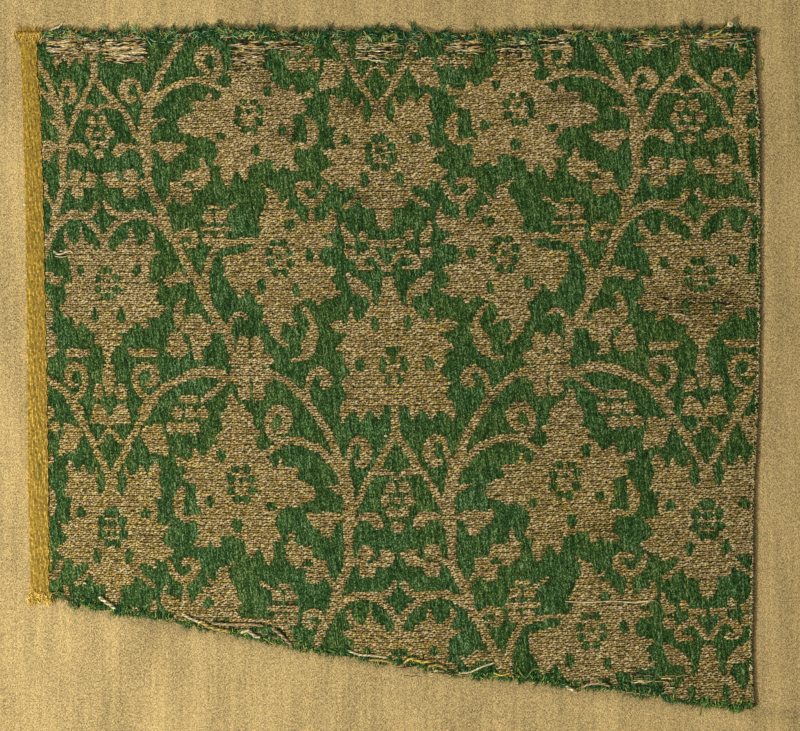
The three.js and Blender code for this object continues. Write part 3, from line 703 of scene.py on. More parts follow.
class Nodes:
    """A material's node tree, built a node at a time."""

    def __init__(self, name):
        self.material = bpy.data.materials.new(name)
        self.material.use_nodes = True
        self.tree = self.material.node_tree
        self.shader = self.tree.nodes["Principled BSDF"]

    def node(self, kind, **inputs):
        """A node with its inputs, or its own settings, given by name."""
        made = self.tree.nodes.new(kind)
        for key, value in inputs.items():
            self.put(made, key, value)
        return made

    def put(self, made, key, value):
        """Set or link one input of a node, or one of its settings."""
        if isinstance(key, str) and hasattr(made, key) and key not in made.inputs:
            setattr(made, key, value)
            return
        socket = made.inputs[key]
        if isinstance(value, bpy.types.NodeSocket):
            self.tree.links.new(value, socket)
        elif hasattr(socket.default_value, "__len__") and np.ndim(value):
            value = tuple(float(part) for part in value)
            socket.default_value = value + (1.0,) * (len(socket.default_value) - len(value))
        else:
            socket.default_value = value

    def coordinates(self, scale, turn=0.0):
        """Object coordinates in millimetres times scale."""
        place = self.node("ShaderNodeTexCoord").outputs["Object"]
        mapping = self.node("ShaderNodeMapping", Vector=place, Rotation=(0, 0, turn))
        mapping.inputs["Scale"].default_value = tuple(part / MM for part in scale)
        return mapping.outputs["Vector"]

    def noise(self, vector, detail=2.0, roughness=0.5, distortion=0.0):
        """Soft noise, with its size set by the scale of the vector."""
        made = self.node("ShaderNodeTexNoise", Vector=vector, Scale=1.0, Detail=detail, Roughness=roughness,
                         Distortion=distortion)
        return made.outputs["Fac"]

    def stretches(self, place, pitch, length):
        """One random number for each stretch of each thread, threads running along y."""
        parts = self.node("ShaderNodeSeparateXYZ", Vector=place)
        thread = self.math("FLOOR", self.math("DIVIDE", parts.outputs["X"], pitch))
        start = self.node("ShaderNodeTexWhiteNoise", noise_dimensions="1D")
        self.put(start, "W", thread)
        row = self.math("ADD", self.math("DIVIDE", parts.outputs["Y"], length),
                        self.math("MULTIPLY", start.outputs["Value"], 7.0))
        cell = self.node("ShaderNodeCombineXYZ", X=thread, Y=self.math("FLOOR", row))
        value = self.node("ShaderNodeTexWhiteNoise", noise_dimensions="2D", Vector=cell.outputs["Vector"])
        return value.outputs["Value"]

    def ramp(self, value, low, high, start=0.0, end=1.0):
        """A value stretched from low to high onto start to end."""
        made = self.node("ShaderNodeMapRange", Value=value)
        for key, number in (("From Min", low), ("From Max", high), ("To Min", start), ("To Max", end)):
            made.inputs[key].default_value = number
        return made.outputs["Result"]

    def scale(self, value, stops):
        """Colours blended along a value, each at its own place."""
        made = self.node("ShaderNodeValToRGB", Fac=value)
        marks = made.color_ramp.elements
        while len(marks) < len(stops):
            marks.new(1.0)
        for mark, (place, colour) in zip(marks, stops):
            mark.position = place
            mark.color = tuple(float(part) for part in colour) + (1.0,)
        return made.outputs["Color"]

    def math(self, operation, first, second=0.0):
        """One step of arithmetic. A floor or an absolute value needs no second number."""
        made = self.node("ShaderNodeMath")
        made.operation = operation
        self.put(made, 0, first)
        self.put(made, 1, second)
        return made.outputs[0]

    def mix(self, share, first, second, blend="MIX"):
        """Two colours blended by a share."""
        made = self.node("ShaderNodeMixRGB")
        made.blend_type = blend
        self.put(made, "Fac", share)
        self.put(made, "Color1", first)
        self.put(made, "Color2", second)
        return made.outputs["Color"]

    def bump(self, height, distance, strength):
        """Fine relief from a height, as deep as distance in millimetres."""
        made = self.node("ShaderNodeBump", Height=height, Distance=distance * MM, Strength=strength)
        self.put(self.shader, "Normal", made.outputs["Normal"])

    def vertex_colour(self):
        """The colours that the mesh carries."""
        return self.node("ShaderNodeVertexColor", layer_name="Colour").outputs["Color"]

    def finish(self, colour, **shader):
        """The material, with its colour and the shader's other values."""
        self.put(self.shader, "Base Color", colour)
        for key, value in shader.items():
            self.put(self.shader, key.replace("_", " "), value)
        return self.material


def ground_silk():
    """Green satin: fine warps leaning a little, each a run of darker and paler stretches."""
    nodes = Nodes("green_satin")
    tint = nodes.vertex_colour()
    place = nodes.coordinates((1, 1, 1), WARP_LEAN)
    quick = nodes.stretches(place, WARP_PITCH, WARP_STRETCH)
    slow = nodes.stretches(place, WARP_LONG_PITCH, WARP_LONG_STRETCH)
    fine = nodes.noise(nodes.coordinates((4.6, 3.4, 1)), detail=2, roughness=0.7)
    broad = nodes.noise(nodes.coordinates((0.3, 0.08, 1)), detail=2)
    patches = nodes.noise(nodes.coordinates((0.07, 0.05, 1)), detail=3)
    tone = nodes.math("ADD", nodes.math("MULTIPLY", quick, 0.85), nodes.math("MULTIPLY", slow, 0.44))
    tone = nodes.math("ADD", tone, nodes.ramp(fine, 0.3, 0.7, -0.4, -0.03))
    tone = nodes.math("ADD", tone, nodes.ramp(broad, 0.3, 0.7, -0.05, 0.05))
    satin = nodes.scale(tone, ((0.05, SATIN_DARK), (0.46, SATIN_MIDDLE), (0.78, SATIN_LIGHT),
                               (1.0, SATIN_SHEEN)))
    hue = nodes.mix(nodes.ramp(patches, 0.4, 0.6), (1.08, 1.0, 0.85, 1), (0.92, 0.99, 1.05, 1))
    colour = nodes.mix(1.0, nodes.mix(1.0, satin, hue, "MULTIPLY"), tint, "MULTIPLY")
    nodes.bump(fine, 0.2, 0.7)
    return nodes.finish(colour, Roughness=0.65, Specular_IOR_Level=0.15)


def yarn_silk(name, roughness, fineness=(5, 5, 5), brightest=1.25, relief=0.06):
    """Silk thread that takes its colour from the mesh, darker and paler along its fibres."""
    nodes = Nodes(name)
    base = nodes.vertex_colour()
    fibres = nodes.noise(nodes.coordinates(fineness), detail=3, roughness=0.7)
    light = nodes.ramp(fibres, 0.3, 0.7, 0.7, brightest)
    nodes.bump(fibres, relief, 0.6)
    colour = nodes.mix(1.0, base, light, "MULTIPLY")
    return nodes.finish(colour, Roughness=roughness, Specular_IOR_Level=0.25)


def linen_cloth():
    """Plain linen with slubs: uneven threads both ways, a little darker between them."""
    nodes = Nodes("linen")
    place = nodes.node("ShaderNodeUVMap", uv_map="Threads").outputs["UV"]

    def along(scale):
        mapping = nodes.node("ShaderNodeMapping", Vector=place)
        mapping.inputs["Scale"].default_value = tuple(part * THREAD_MAP for part in scale)
        return mapping.outputs["Vector"]

    knots = nodes.stretches(along((1, 1, 1)), LINEN_PITCH, LINEN_PITCH)
    warps = nodes.noise(along((6, 2.2, 1)), detail=1, roughness=0.6)
    wefts = nodes.noise(along((2.2, 6, 1)), detail=1, roughness=0.6)
    slubs = nodes.noise(along((1.1, 0.04, 1)), detail=1)
    tone = nodes.noise(along((0.045, 0.02, 1)), detail=3)
    # Long soft bands, darker and paler, that stand for shallow folds in the linen: painted shade and light
    streaks = nodes.noise(along((0.2, 0.025, 1)), detail=2)
    weave = nodes.math("ADD", nodes.ramp(warps, 0.3, 0.7, -0.4, 0.4),
                       nodes.ramp(wefts, 0.3, 0.7, -0.26, 0.26))
    weave = nodes.math("ADD", weave, nodes.ramp(slubs, 0.35, 0.65, -0.07, 0.07))
    weave = nodes.math("ADD", weave, nodes.ramp(knots, 0.0, 1.0, -0.34, 0.34))
    light = nodes.math("ADD", weave, nodes.ramp(tone, 0.35, 0.65, 0.9, 1.11))
    light = nodes.math("ADD", light, nodes.ramp(streaks, 0.35, 0.65, -0.09, 0.09))
    # painted shade on the linen just below the fragment's lower edge
    light = nodes.math("MULTIPLY", light, painted_edge_shade(nodes, place))
    colour = nodes.mix(1.0, tuple(LINEN_FLAX), light, "MULTIPLY")
    nodes.bump(weave, 0.3, 0.5)
    return nodes.finish(colour, Roughness=0.9)


# The painted shade on the linen below the fragment: its middle below the lower edge, where it is darkest and
# where it has run out, its darkest share, and the stretch of x in which it sets in
SHADE_DROP = 0.9
SHADE_FULL, SHADE_OUT = 0.4, 2.6
SHADE_SHARE = 0.16
SHADE_START, SHADE_SET = -94.0, -84.0


def painted_edge_shade(nodes, place):
    """Painted shade: the linen is a little darker just below the fragment, whose lower edge is nearly a
    parabola.
    """
    bend, slope, level = np.polyfit(*np.array(LOWER_EDGE).T, 2)
    parts = nodes.node("ShaderNodeSeparateXYZ", Vector=place)
    x = nodes.math("MULTIPLY", parts.outputs["X"], THREAD_MAP)
    y = nodes.math("MULTIPLY", parts.outputs["Y"], THREAD_MAP)
    edge = nodes.math("ADD", nodes.math("MULTIPLY", x, bend), slope)
    edge = nodes.math("ADD", nodes.math("MULTIPLY", x, edge), level)
    away = nodes.math("ABSOLUTE", nodes.math("SUBTRACT", nodes.math("SUBTRACT", edge, y), SHADE_DROP))
    edge_shade = nodes.math("MULTIPLY", nodes.ramp(away, SHADE_FULL, SHADE_OUT, SHADE_SHARE, 0.0),
                      nodes.ramp(x, SHADE_START, SHADE_SET))
    return nodes.math("SUBTRACT", 1.0, edge_shade)


def wood(name, dark, light, along_y, roughness, coat=0.0):
    """Straight-grained wood with fine pores along its length."""
    nodes = Nodes(name)

    def grain(along, across):
        return nodes.coordinates((across, along, across) if along_y else (along, across, across))

    figure = nodes.noise(grain(0.02, 0.5), detail=4, roughness=0.6, distortion=0.6)
    pores = nodes.noise(grain(0.12, 3.2), detail=3, roughness=0.65)
    colour = nodes.mix(nodes.ramp(figure, 0.32, 0.68), tuple(dark), tuple(light))
    colour = nodes.mix(1.0, colour, nodes.ramp(pores, 0.35, 0.65, 0.72, 1.14), "MULTIPLY")
    nodes.bump(pores, 0.12, 0.5)
    return nodes.finish(colour, Roughness=roughness, Coat_Weight=coat, Coat_Roughness=0.25)


def outline_share(edge, shares):
    """Points at shares of the length along an edge."""
    rows = np.array(edge, float)
    lengths = np.concatenate(([0], np.cumsum(np.hypot(*np.diff(rows, axis=0).T))))
    wanted = np.asarray(shares) * lengths[-1]
    return np.column_stack((np.interp(wanted, lengths, rows[:, 0]), np.interp(wanted, lengths, rows[:, 1])))


def cloth_plan(across, down):
    """x and y of the fragment's grid, blended between its four edges."""
    upper, lower = outline_share(UPPER_EDGE, across), outline_share(LOWER_EDGE, across)
    left, right = outline_share(SELVAGE_EDGE, down), outline_share(CUT_EDGE, down)
    s, t = across[None, :, None], down[:, None, None]
    sides = (1 - t) * upper[None] + t * lower[None] + (1 - s) * left[:, None] + s * right[:, None]
    corners = ((1 - s) * (1 - t) * upper[0] + s * (1 - t) * upper[-1]
               + (1 - s) * t * lower[0] + s * t * lower[-1])
    return sides - corners


def silk_ground(chart, material):
    """The ground cloth: one closed sheet, brown where the pattern weft covers it."""
    columns, rows = (round(span / GROUND_STEP) for span in GROUND_SPAN)
    plan = cloth_plan(np.linspace(0, 1, columns), np.linspace(0, 1, rows))
    x, y = plan[..., 0].copy(), plan[..., 1].copy()
    wave = np.sin(x * 0.93) + 0.7 * np.sin(x * 2.1 + 1.3) + 0.5 * np.sin(x * 5.3 + 2.2)
    ends = np.zeros((rows, 1))
    ends[0], ends[-1] = END_STRAY, -END_STRAY
    y = y + ends * wave
    top = silk_top(x, y)
    p, v = pattern_from_cloth(x, y)
    gold = chart.at(p, v) & (wear(x, y, MANY_LOOSE) < 0.3)
    colours = np.where(gold.reshape(-1, 1), UNDER_GOLD, np.ones(3))
    selvage = (x < edge_x(SELVAGE_INNER, y)).reshape(-1, 1)
    colours = np.where(selvage, UNDER_SELVAGE, colours)
    high = np.column_stack((x.ravel(), y.ravel(), top.ravel()))
    low = np.column_stack((x.ravel(), y.ravel(), np.full(x.size, SILK_UNDERSIDE)))
    faces = [grid_faces(rows, columns), grid_faces(rows, columns, x.size, flip=True)]
    index = np.arange(x.size).reshape(rows, columns)
    loop = np.concatenate((index[0], index[1:, -1], index[-1, -2::-1], index[-2:0:-1, 0]))
    after = np.roll(loop, -1)
    faces.append(np.column_stack((loop, after, after + x.size, loop + x.size)))
    return mesh_piece("silk_ground", np.vstack((high, low)), np.vstack(faces), material,
                      np.vstack((colours, colours)))


def runs(flags):
    """First and last place of each stretch of true flags."""
    steps = np.diff(np.concatenate(([0], flags.astype(int), [0])))
    return np.flatnonzero(steps == 1), np.flatnonzero(steps == -1) - 1


# Places where the pattern weft is worn or has come loose: x and y from and to, and how many loose picks
LOOSENED = (
    (-85.0, -77.5, 78.0, 81.8, 18), (-76.0, -72.0, 79.0, 81.5, 8), (-71.5, -60.3, 76.5, 82.2, 30),
    (-39.0, -31.0, 76.0, 82.0, 16), (-31.0, -21.0, 79.0, 82.4, 8),
    (-8.0, 3.5, 77.0, 81.5, 10), (15.0, 24.0, 78.5, 82.0, 8), (28.0, 36.0, 79.0, 83.0, 8),
    (38.0, 46.0, 79.5, 83.5, 8), (59.0, 71.0, 80.0, 83.3, 12), (77.0, 90.0, 80.5, 83.6, 14),
    (64.0, 90.0, 13.0, 19.0, 3), (-20.0, -2.0, 41.0, 44.0, 0), (-33.0, -26.0, 68.0, 73.0, 0),
    (-12.0, 0.0, 63.0, 67.0, 0), (-28.0, -22.0, 57.0, 60.0, 0), (38.0, 52.0, 66.0, 69.0, 0),
    (-84.0, -78.0, -52.5, -49.5, 0), (-60.0, -52.0, 41.0, 44.0, 0), (22.0, 36.0, -10.0, -6.0, 0),
    (50.0, 64.0, -42.0, -38.0, 0), (0.0, 20.0, -77.0, -74.0, 4), (60.0, 75.0, -80.0, -76.0, 4),
)
# From how many loose picks a place is laid bare, in stretches of this length counted from BARE_START
MANY_LOOSE = 8
BARE_START = -30.0
BARE_STRETCH = 1.3
BARE_STRETCHES = 200


def wear(x, y, fewest=0):
    """How worn the gold is, from 0 to 0.75, counting the places with at least so many loose picks."""
    worn = np.zeros_like(x)
    for left, right, low, high, count in LOOSENED:
        if count >= fewest:
            across = (x - (left + right) / 2) / (0.6 * (right - left))
            down = (y - (low + high) / 2) / (0.6 * (high - low))
            worn = np.maximum(worn, 0.75 * np.exp(-(across**2) - down**2))
    return worn


def yellowing(x, y):
    """The gold is yellower in some parts of the cloth, mostly near its lower left corner."""
    corner = 0.3 * np.exp(-(((x + 68) / 24) ** 2) - ((y + 34) / 32) ** 2)
    return corner + 0.1 * np.sin(x / 13 + 0.8) * np.sin(y / 11 + 1.9)


def weft_picks(chart):
    """Every stretch of pattern weft on the face: its pick, height in the pattern, start and end."""
    p = np.arange(PICK_START, PICK_END, BINDING_PITCH / 4)
    stretch = ((p - BARE_START) / BARE_STRETCH).astype(int)
    picks = []
    for number, v in enumerate(np.arange(FIRST_PICK, LAST_PICK, PICK_PITCH)):
        v = v + 0.06 * math.sin(number * 2.4)
        x, y = cloth_from_pattern(p, np.full_like(p, v))
        ragged = 0.25 * np.sin(x * 1.3 + number)
        on_cloth = (x > edge_x(SELVAGE_INNER, y) + 0.2) & (x < edge_x(CUT_EDGE, y) - 0.1)
        on_cloth &= (y < edge_y(UPPER_EDGE, x) - 0.5 + ragged) & (y > edge_y(LOWER_EDGE, x) + 0.4 + ragged)
        left_bare = rng.random(BARE_STRETCHES)[stretch] < 1.1 * wear(x, y, MANY_LOOSE)
        gold = chart.at(p, np.full_like(p, v)) & on_cloth & ~left_bare
        for first, last in zip(*runs(gold)):
            if last - first > 2:
                picks.append((number, v, p[first], p[last]))
    return picks


def weft_mesh(picks, name, material):
    """The floats: low at each binding warp, high and slanting up to the right between."""
    points, faces, colours = [], [], []
    count = 0
    for number, v, start, end in picks:
        start, end = start - rng.uniform(-0.2, 0.35), end + rng.uniform(-0.2, 0.35)
        first, last = math.floor(start / BINDING_PITCH) + 1, math.ceil(end / BINDING_PITCH) - 1
        inner = np.arange(first, last + 1)
        p = np.concatenate(([start], inner * BINDING_PITCH, [end]))
        lengths = rng.choice(FLOAT_STEPS, len(p))
        bindings = np.cumsum(lengths) - lengths[0]
        float_number = np.searchsorted(bindings, np.arange(len(p)), side="right") - 1
        phase = (np.arange(len(p)) - bindings[float_number]) / lengths[float_number]
        bound = phase == 0
        bound[-1] = True
        x, y = cloth_from_pattern(p, np.full_like(p, v))
        worn = wear(x, y)
        y = y + FLOAT_SLANT * (phase - 0.4)
        y = y + rng.normal(0, 0.06, len(p))[float_number]
        y = y + rng.normal(0, 0.12) * worn
        run = np.gradient(np.column_stack((x, y)), axis=0)
        run /= np.linalg.norm(run, axis=1)[:, None] + 1e-9
        side = np.column_stack((-run[:, 1], run[:, 0]))
        full = rng.uniform(0.75, 1.2, len(p))[float_number]
        half = np.where(bound, 0.6, 1.0) * WEFT_WIDTH / 2 * full * (1 - 0.3 * worn)
        height = np.where(bound, 0.2, 1.0) * WEFT_HEIGHT * full * (1 + worn)
        base = silk_top(x, y)
        n = len(p)
        rows = np.empty((n, 3, 3))
        for column, share in enumerate((-1, 0, 1)):
            rows[:, column, 0] = x + share * half * side[:, 0]
            rows[:, column, 1] = y + share * half * side[:, 1]
            rows[:, column, 2] = base + (0.01 if share else 0.05 + height)
        shade = weft_shade(bound, worn, yellowing(x, y)[:, None])
        # Painted shade: each float is darker down both sides than on its crest, one side by a random share,
        # the other side more
        tints = np.stack((rng.uniform(0.45, 0.85, (n, 1)) * shade, shade, PAINTED_SIDE_SHADE * shade), axis=1)
        points.append(rows.reshape(-1, 3))
        colours.append(tints.reshape(-1, 3))
        faces.append(grid_faces(n, 3, count, flip=True))
        count += 3 * n
    return mesh_piece(name, np.vstack(points), np.vstack(faces), material, np.vstack(colours))


def weft_shade(bound, worn, yellow):
    """Colours along a pick, a new one after each binding warp and darker under it, for the warp's own colour
    and painted shade in the dip.
    """
    floats = np.cumsum(bound)
    tone = rng.normal(0.08, 0.5, floats[-1] + 1)[floats] + rng.normal(0, 0.85, len(floats))
    hue = rng.uniform(0, 1, floats[-1] + 1)[floats][:, None]
    shade = np.where(hue < 0.5 - yellow, GOLD, np.where(hue < 0.82 - 1.5 * yellow, TAN, OCHRE))
    shade = np.minimum(shade * np.exp(TONE_GAIN * tone[:, None]), CREAM * 1.15)
    worn = (worn * rng.uniform(-0.3, 1.1, floats[-1] + 1)[floats]).clip(0, 1)[:, None]
    shade = shade * (1 - worn) + WORN_BROWN * worn
    # Under a binding warp: the warp's colour and painted shade where the float dips
    return shade * np.where(bound[:, None], UNDER_BINDING, 1.0)


# The selvage's warps: how many, and the points along and across each
SELVAGE_YARNS = 13
SELVAGE_ROWS = 420
YARN_STEPS = 5


def selvage_warps(material):
    """The selvage's heavy warps, side by side from end to end, with flecks of light along them."""
    down = np.linspace(0.004, 0.996, SELVAGE_ROWS)
    outer = outline_share(SELVAGE_EDGE, down)
    inner_x = edge_x(SELVAGE_INNER, outer[:, 1]) + 0.12 * np.sin(outer[:, 1] * 2.3)
    inner_x = inner_x + rng.normal(0, 0.06, SELVAGE_ROWS)
    points, colours = [], []
    for yarn in range(SELVAGE_YARNS):
        base = SELVAGE_YELLOW * rng.uniform(0.92, 1.14)
        fleck = np.exp(rng.normal(0, 0.34, SELVAGE_ROWS) + 0.25 * np.sin(outer[:, 1] * 0.9 + 2.1 * yarn))
        sway = 0.1 * np.sin(outer[:, 1] * 0.8 + 1.7 * yarn)
        for step in range(YARN_STEPS):
            share = (yarn + step / YARN_STEPS + sway) / SELVAGE_YARNS
            share = np.clip(share, 0.5 * step / YARN_STEPS / SELVAGE_YARNS, 1)
            x = outer[:, 0] + 0.03 + share * (inner_x - outer[:, 0] - 0.03)
            round_up = math.sin(math.pi * step / YARN_STEPS)
            z = silk_top(x, outer[:, 1]) + 0.08 + (0.17 + 0.06 * np.log(fleck)) * round_up
            points.append(np.column_stack((x, outer[:, 1], z)))
            # Painted light and shade: each yarn is paler on its crest and darker down its sides
            shade = base[None, :] * (fleck * (0.72 + 0.34 * round_up))[:, None]
            pale = np.clip(np.log(fleck) - 0.3, 0, 0.6)[:, None]
            colours.append(shade * (1 - pale) + BRIGHT_YELLOW * pale)
    grid, tints = np.stack(points, axis=1), np.stack(colours, axis=1)
    skirt = grid[:, -1:, :] - (0, 0, 0.15)
    # The skirt down to the ground is painted dark, as shade, at 0.3 of its yarn's colour
    grid, tints = np.concatenate((grid, skirt), axis=1), np.concatenate((tints, tints[:, -1:] * 0.3), axis=1)
    return mesh_piece("selvage_warps", grid.reshape(-1, 3), grid_faces(SELVAGE_ROWS, grid.shape[1]), material,
                      tints.reshape(-1, 3))


def on_silk(x, y):
    """Whether a place lies within the fragment's four edges."""
    inside = (x < edge_x(CUT_EDGE, y)) & (x > edge_x(SELVAGE_EDGE, y))
    return inside & (y < edge_y(UPPER_EDGE, x)) & (y > edge_y(LOWER_EDGE, x))


def loose_track(x, y, angle, length, bend, lift):
    """A yarn end that starts at x, y and curls as it goes, lying on the silk and then on the linen."""
    t = np.linspace(0, 1, 5)
    turn = angle + bend * (t - 0.3)
    step = length / (len(t) - 1)
    px = x + np.concatenate(([0], np.cumsum(step * np.cos(turn[1:]))))
    py = y + np.concatenate(([0], np.cumsum(step * np.sin(turn[1:]))))
    floor = np.where(on_silk(px, py), silk_top(px, py) + 0.1, LINEN_TOP + 0.25)
    return np.column_stack((px, py, floor + lift * np.sin(math.pi * (0.1 + 0.9 * t))))


# A loose warp end's radius and light from its root to its tip, and the sides of its tube
END_RADII = np.array((0.08, 0.11, 0.1, 0.08, 0.03))
END_LIGHT = np.linspace(0.75, 1.6, 5)[:, None]
END_SIDES = 3


def tuft(ends, x, y, angle, count, longest, palette):
    """Warp ends that hang together, curling about one direction."""
    together = rng.normal(0, 0.7)
    for _ in range(count):
        colour = palette[rng.integers(len(palette))] * rng.uniform(0.55, 1.7) * END_LIGHT
        root = (x + rng.normal(0, 0.45), y + rng.normal(0, 0.3))
        turn = angle + rng.normal(0, 0.4)
        length = longest * rng.uniform(0.3, 1.0)
        bend = together + rng.normal(0, 0.6)
        track = loose_track(*root, turn, length, bend, rng.uniform(0.1, 0.5))
        ends.add(track, END_RADII * rng.uniform(0.7, 1.2), colour, END_SIDES)


def upper_frays(material):
    """Warp ends along the cut upper edge, lying over the cloth and beyond it."""
    ends = Strands()
    x = -87.5
    while x < 91.0:
        x += rng.gamma(2.0, 0.3)
        y = float(edge_y(UPPER_EDGE, x)) - rng.triangular(-0.6, 0.4, 3.6)
        palette = (TEAL, DEEP_GREEN, DEEP_GREEN, FRESH_GREEN, PALE_GREEN)
        if rng.random() < (0.5 if x < -58.0 else 0.2):
            palette = (FRESH_GREEN, YELLOW_GREEN, PALE_GREEN, BRIGHT_YELLOW)
        angle = math.pi / 2 + rng.normal(0, 1.2)
        tuft(ends, x, y, angle, rng.integers(5, 13), rng.uniform(1.5, 3.7), palette)
    yellow_tufts(ends, -90.0, 83.2, 1)
    return ends.piece("frayed_upper_edge", material)


def lower_frays(material):
    """Warp ends along the cut lower edge and weft ends along the cut side."""
    ends = Strands()
    x = -85.5
    while x < 91.0:
        right = x > 76.0
        x += rng.gamma(2.0, 0.16 if right else 0.22)
        y = float(edge_y(LOWER_EDGE, x)) + rng.triangular(-0.4, 0.3, 2.6)
        palette = (TEAL, DEEP_GREEN, DEEP_GREEN, FRESH_GREEN, YELLOW_GREEN)
        if right:
            palette = (DEEP_GREEN, DEEP_GREEN, FRESH_GREEN, FRESH_GREEN, YELLOW_GREEN)
        angle = -math.pi / 2 + rng.normal(0, 0.7)
        tuft(ends, x, y, angle, rng.integers(4, 10), rng.uniform(1.0, 2.2), palette)
    for y in np.arange(-84.0, 83.5, 0.2):
        x = float(edge_x(CUT_EDGE, y)) - rng.uniform(0.0, 0.9)
        colour = (FRESH_GREEN, GOLD, CREAM, CREAM)[rng.integers(4)] * rng.uniform(0.7, 1.3)
        track = loose_track(x, y, rng.normal(0, 0.7), rng.gamma(2.0, 0.3), rng.normal(0, 0.6), 0.1)
        ends.add(track, (0.12, 0.13, 0.11, 0.08, 0.03), colour, 4)
    yellow_tufts(ends, -87.2, -57.2, -1)
    return ends.piece("frayed_lower_edge", material)


def yellow_tufts(ends, x, y, side):
    """The selvage's own warp ends, matted together past its end."""
    for _ in range(130):
        tuft(ends, x + rng.uniform(-2.9, 2.9), y - side * rng.uniform(-0.8, 1.4),
             side * math.pi / 2 + rng.normal(0, 0.7), 2, 2.1, (SELVAGE_YELLOW, BRIGHT_YELLOW, OCHRE))


def loosened_picks(material):
    """Pattern wefts whose binding has worn away, lying slack over the face, with dark strands among them as
    painted shadow.
    """
    picks = Strands()
    for left, right, low, high, count in LOOSENED:
        for _ in range(5 * count):
            length = min(rng.gamma(3.0, 0.7) + 0.9, right - left)
            start = rng.uniform(left - 0.5, right - length + 0.5)
            x = np.linspace(start, start + length, max(5, round(length / 0.4)))
            sway = 0.12 * np.sin(x * rng.uniform(1.2, 2.6) + rng.uniform(0, 6))
            level = round(rng.uniform(low, high) / PICK_PITCH) * PICK_PITCH + rng.normal(0, 0.07)
            y = level + rng.normal(0.02, 0.08) * (x - start) + sway
            z = silk_top(x, y) + 0.16 + 0.12 * rng.random(len(x))
            # The near-black strands are painted shadow between the slack picks, not wefts
            base = (CREAM, CREAM, OCHRE, GOLD, TAN, PICK_SHADOW, PICK_SHADOW)[rng.integers(7)]
            shade = rng.uniform(0.7, 1.15) * base[None, :] * np.exp(rng.normal(0, 0.35, len(x)))[:, None]
            taper = rng.uniform(0.09, 0.16) * (0.4 + 0.6 * np.sin(np.linspace(0.2, 2.9, len(x))))
            picks.add(np.column_stack((x, y, z)), taper, shade, 4)
    return picks.piece("loosened_picks", material)


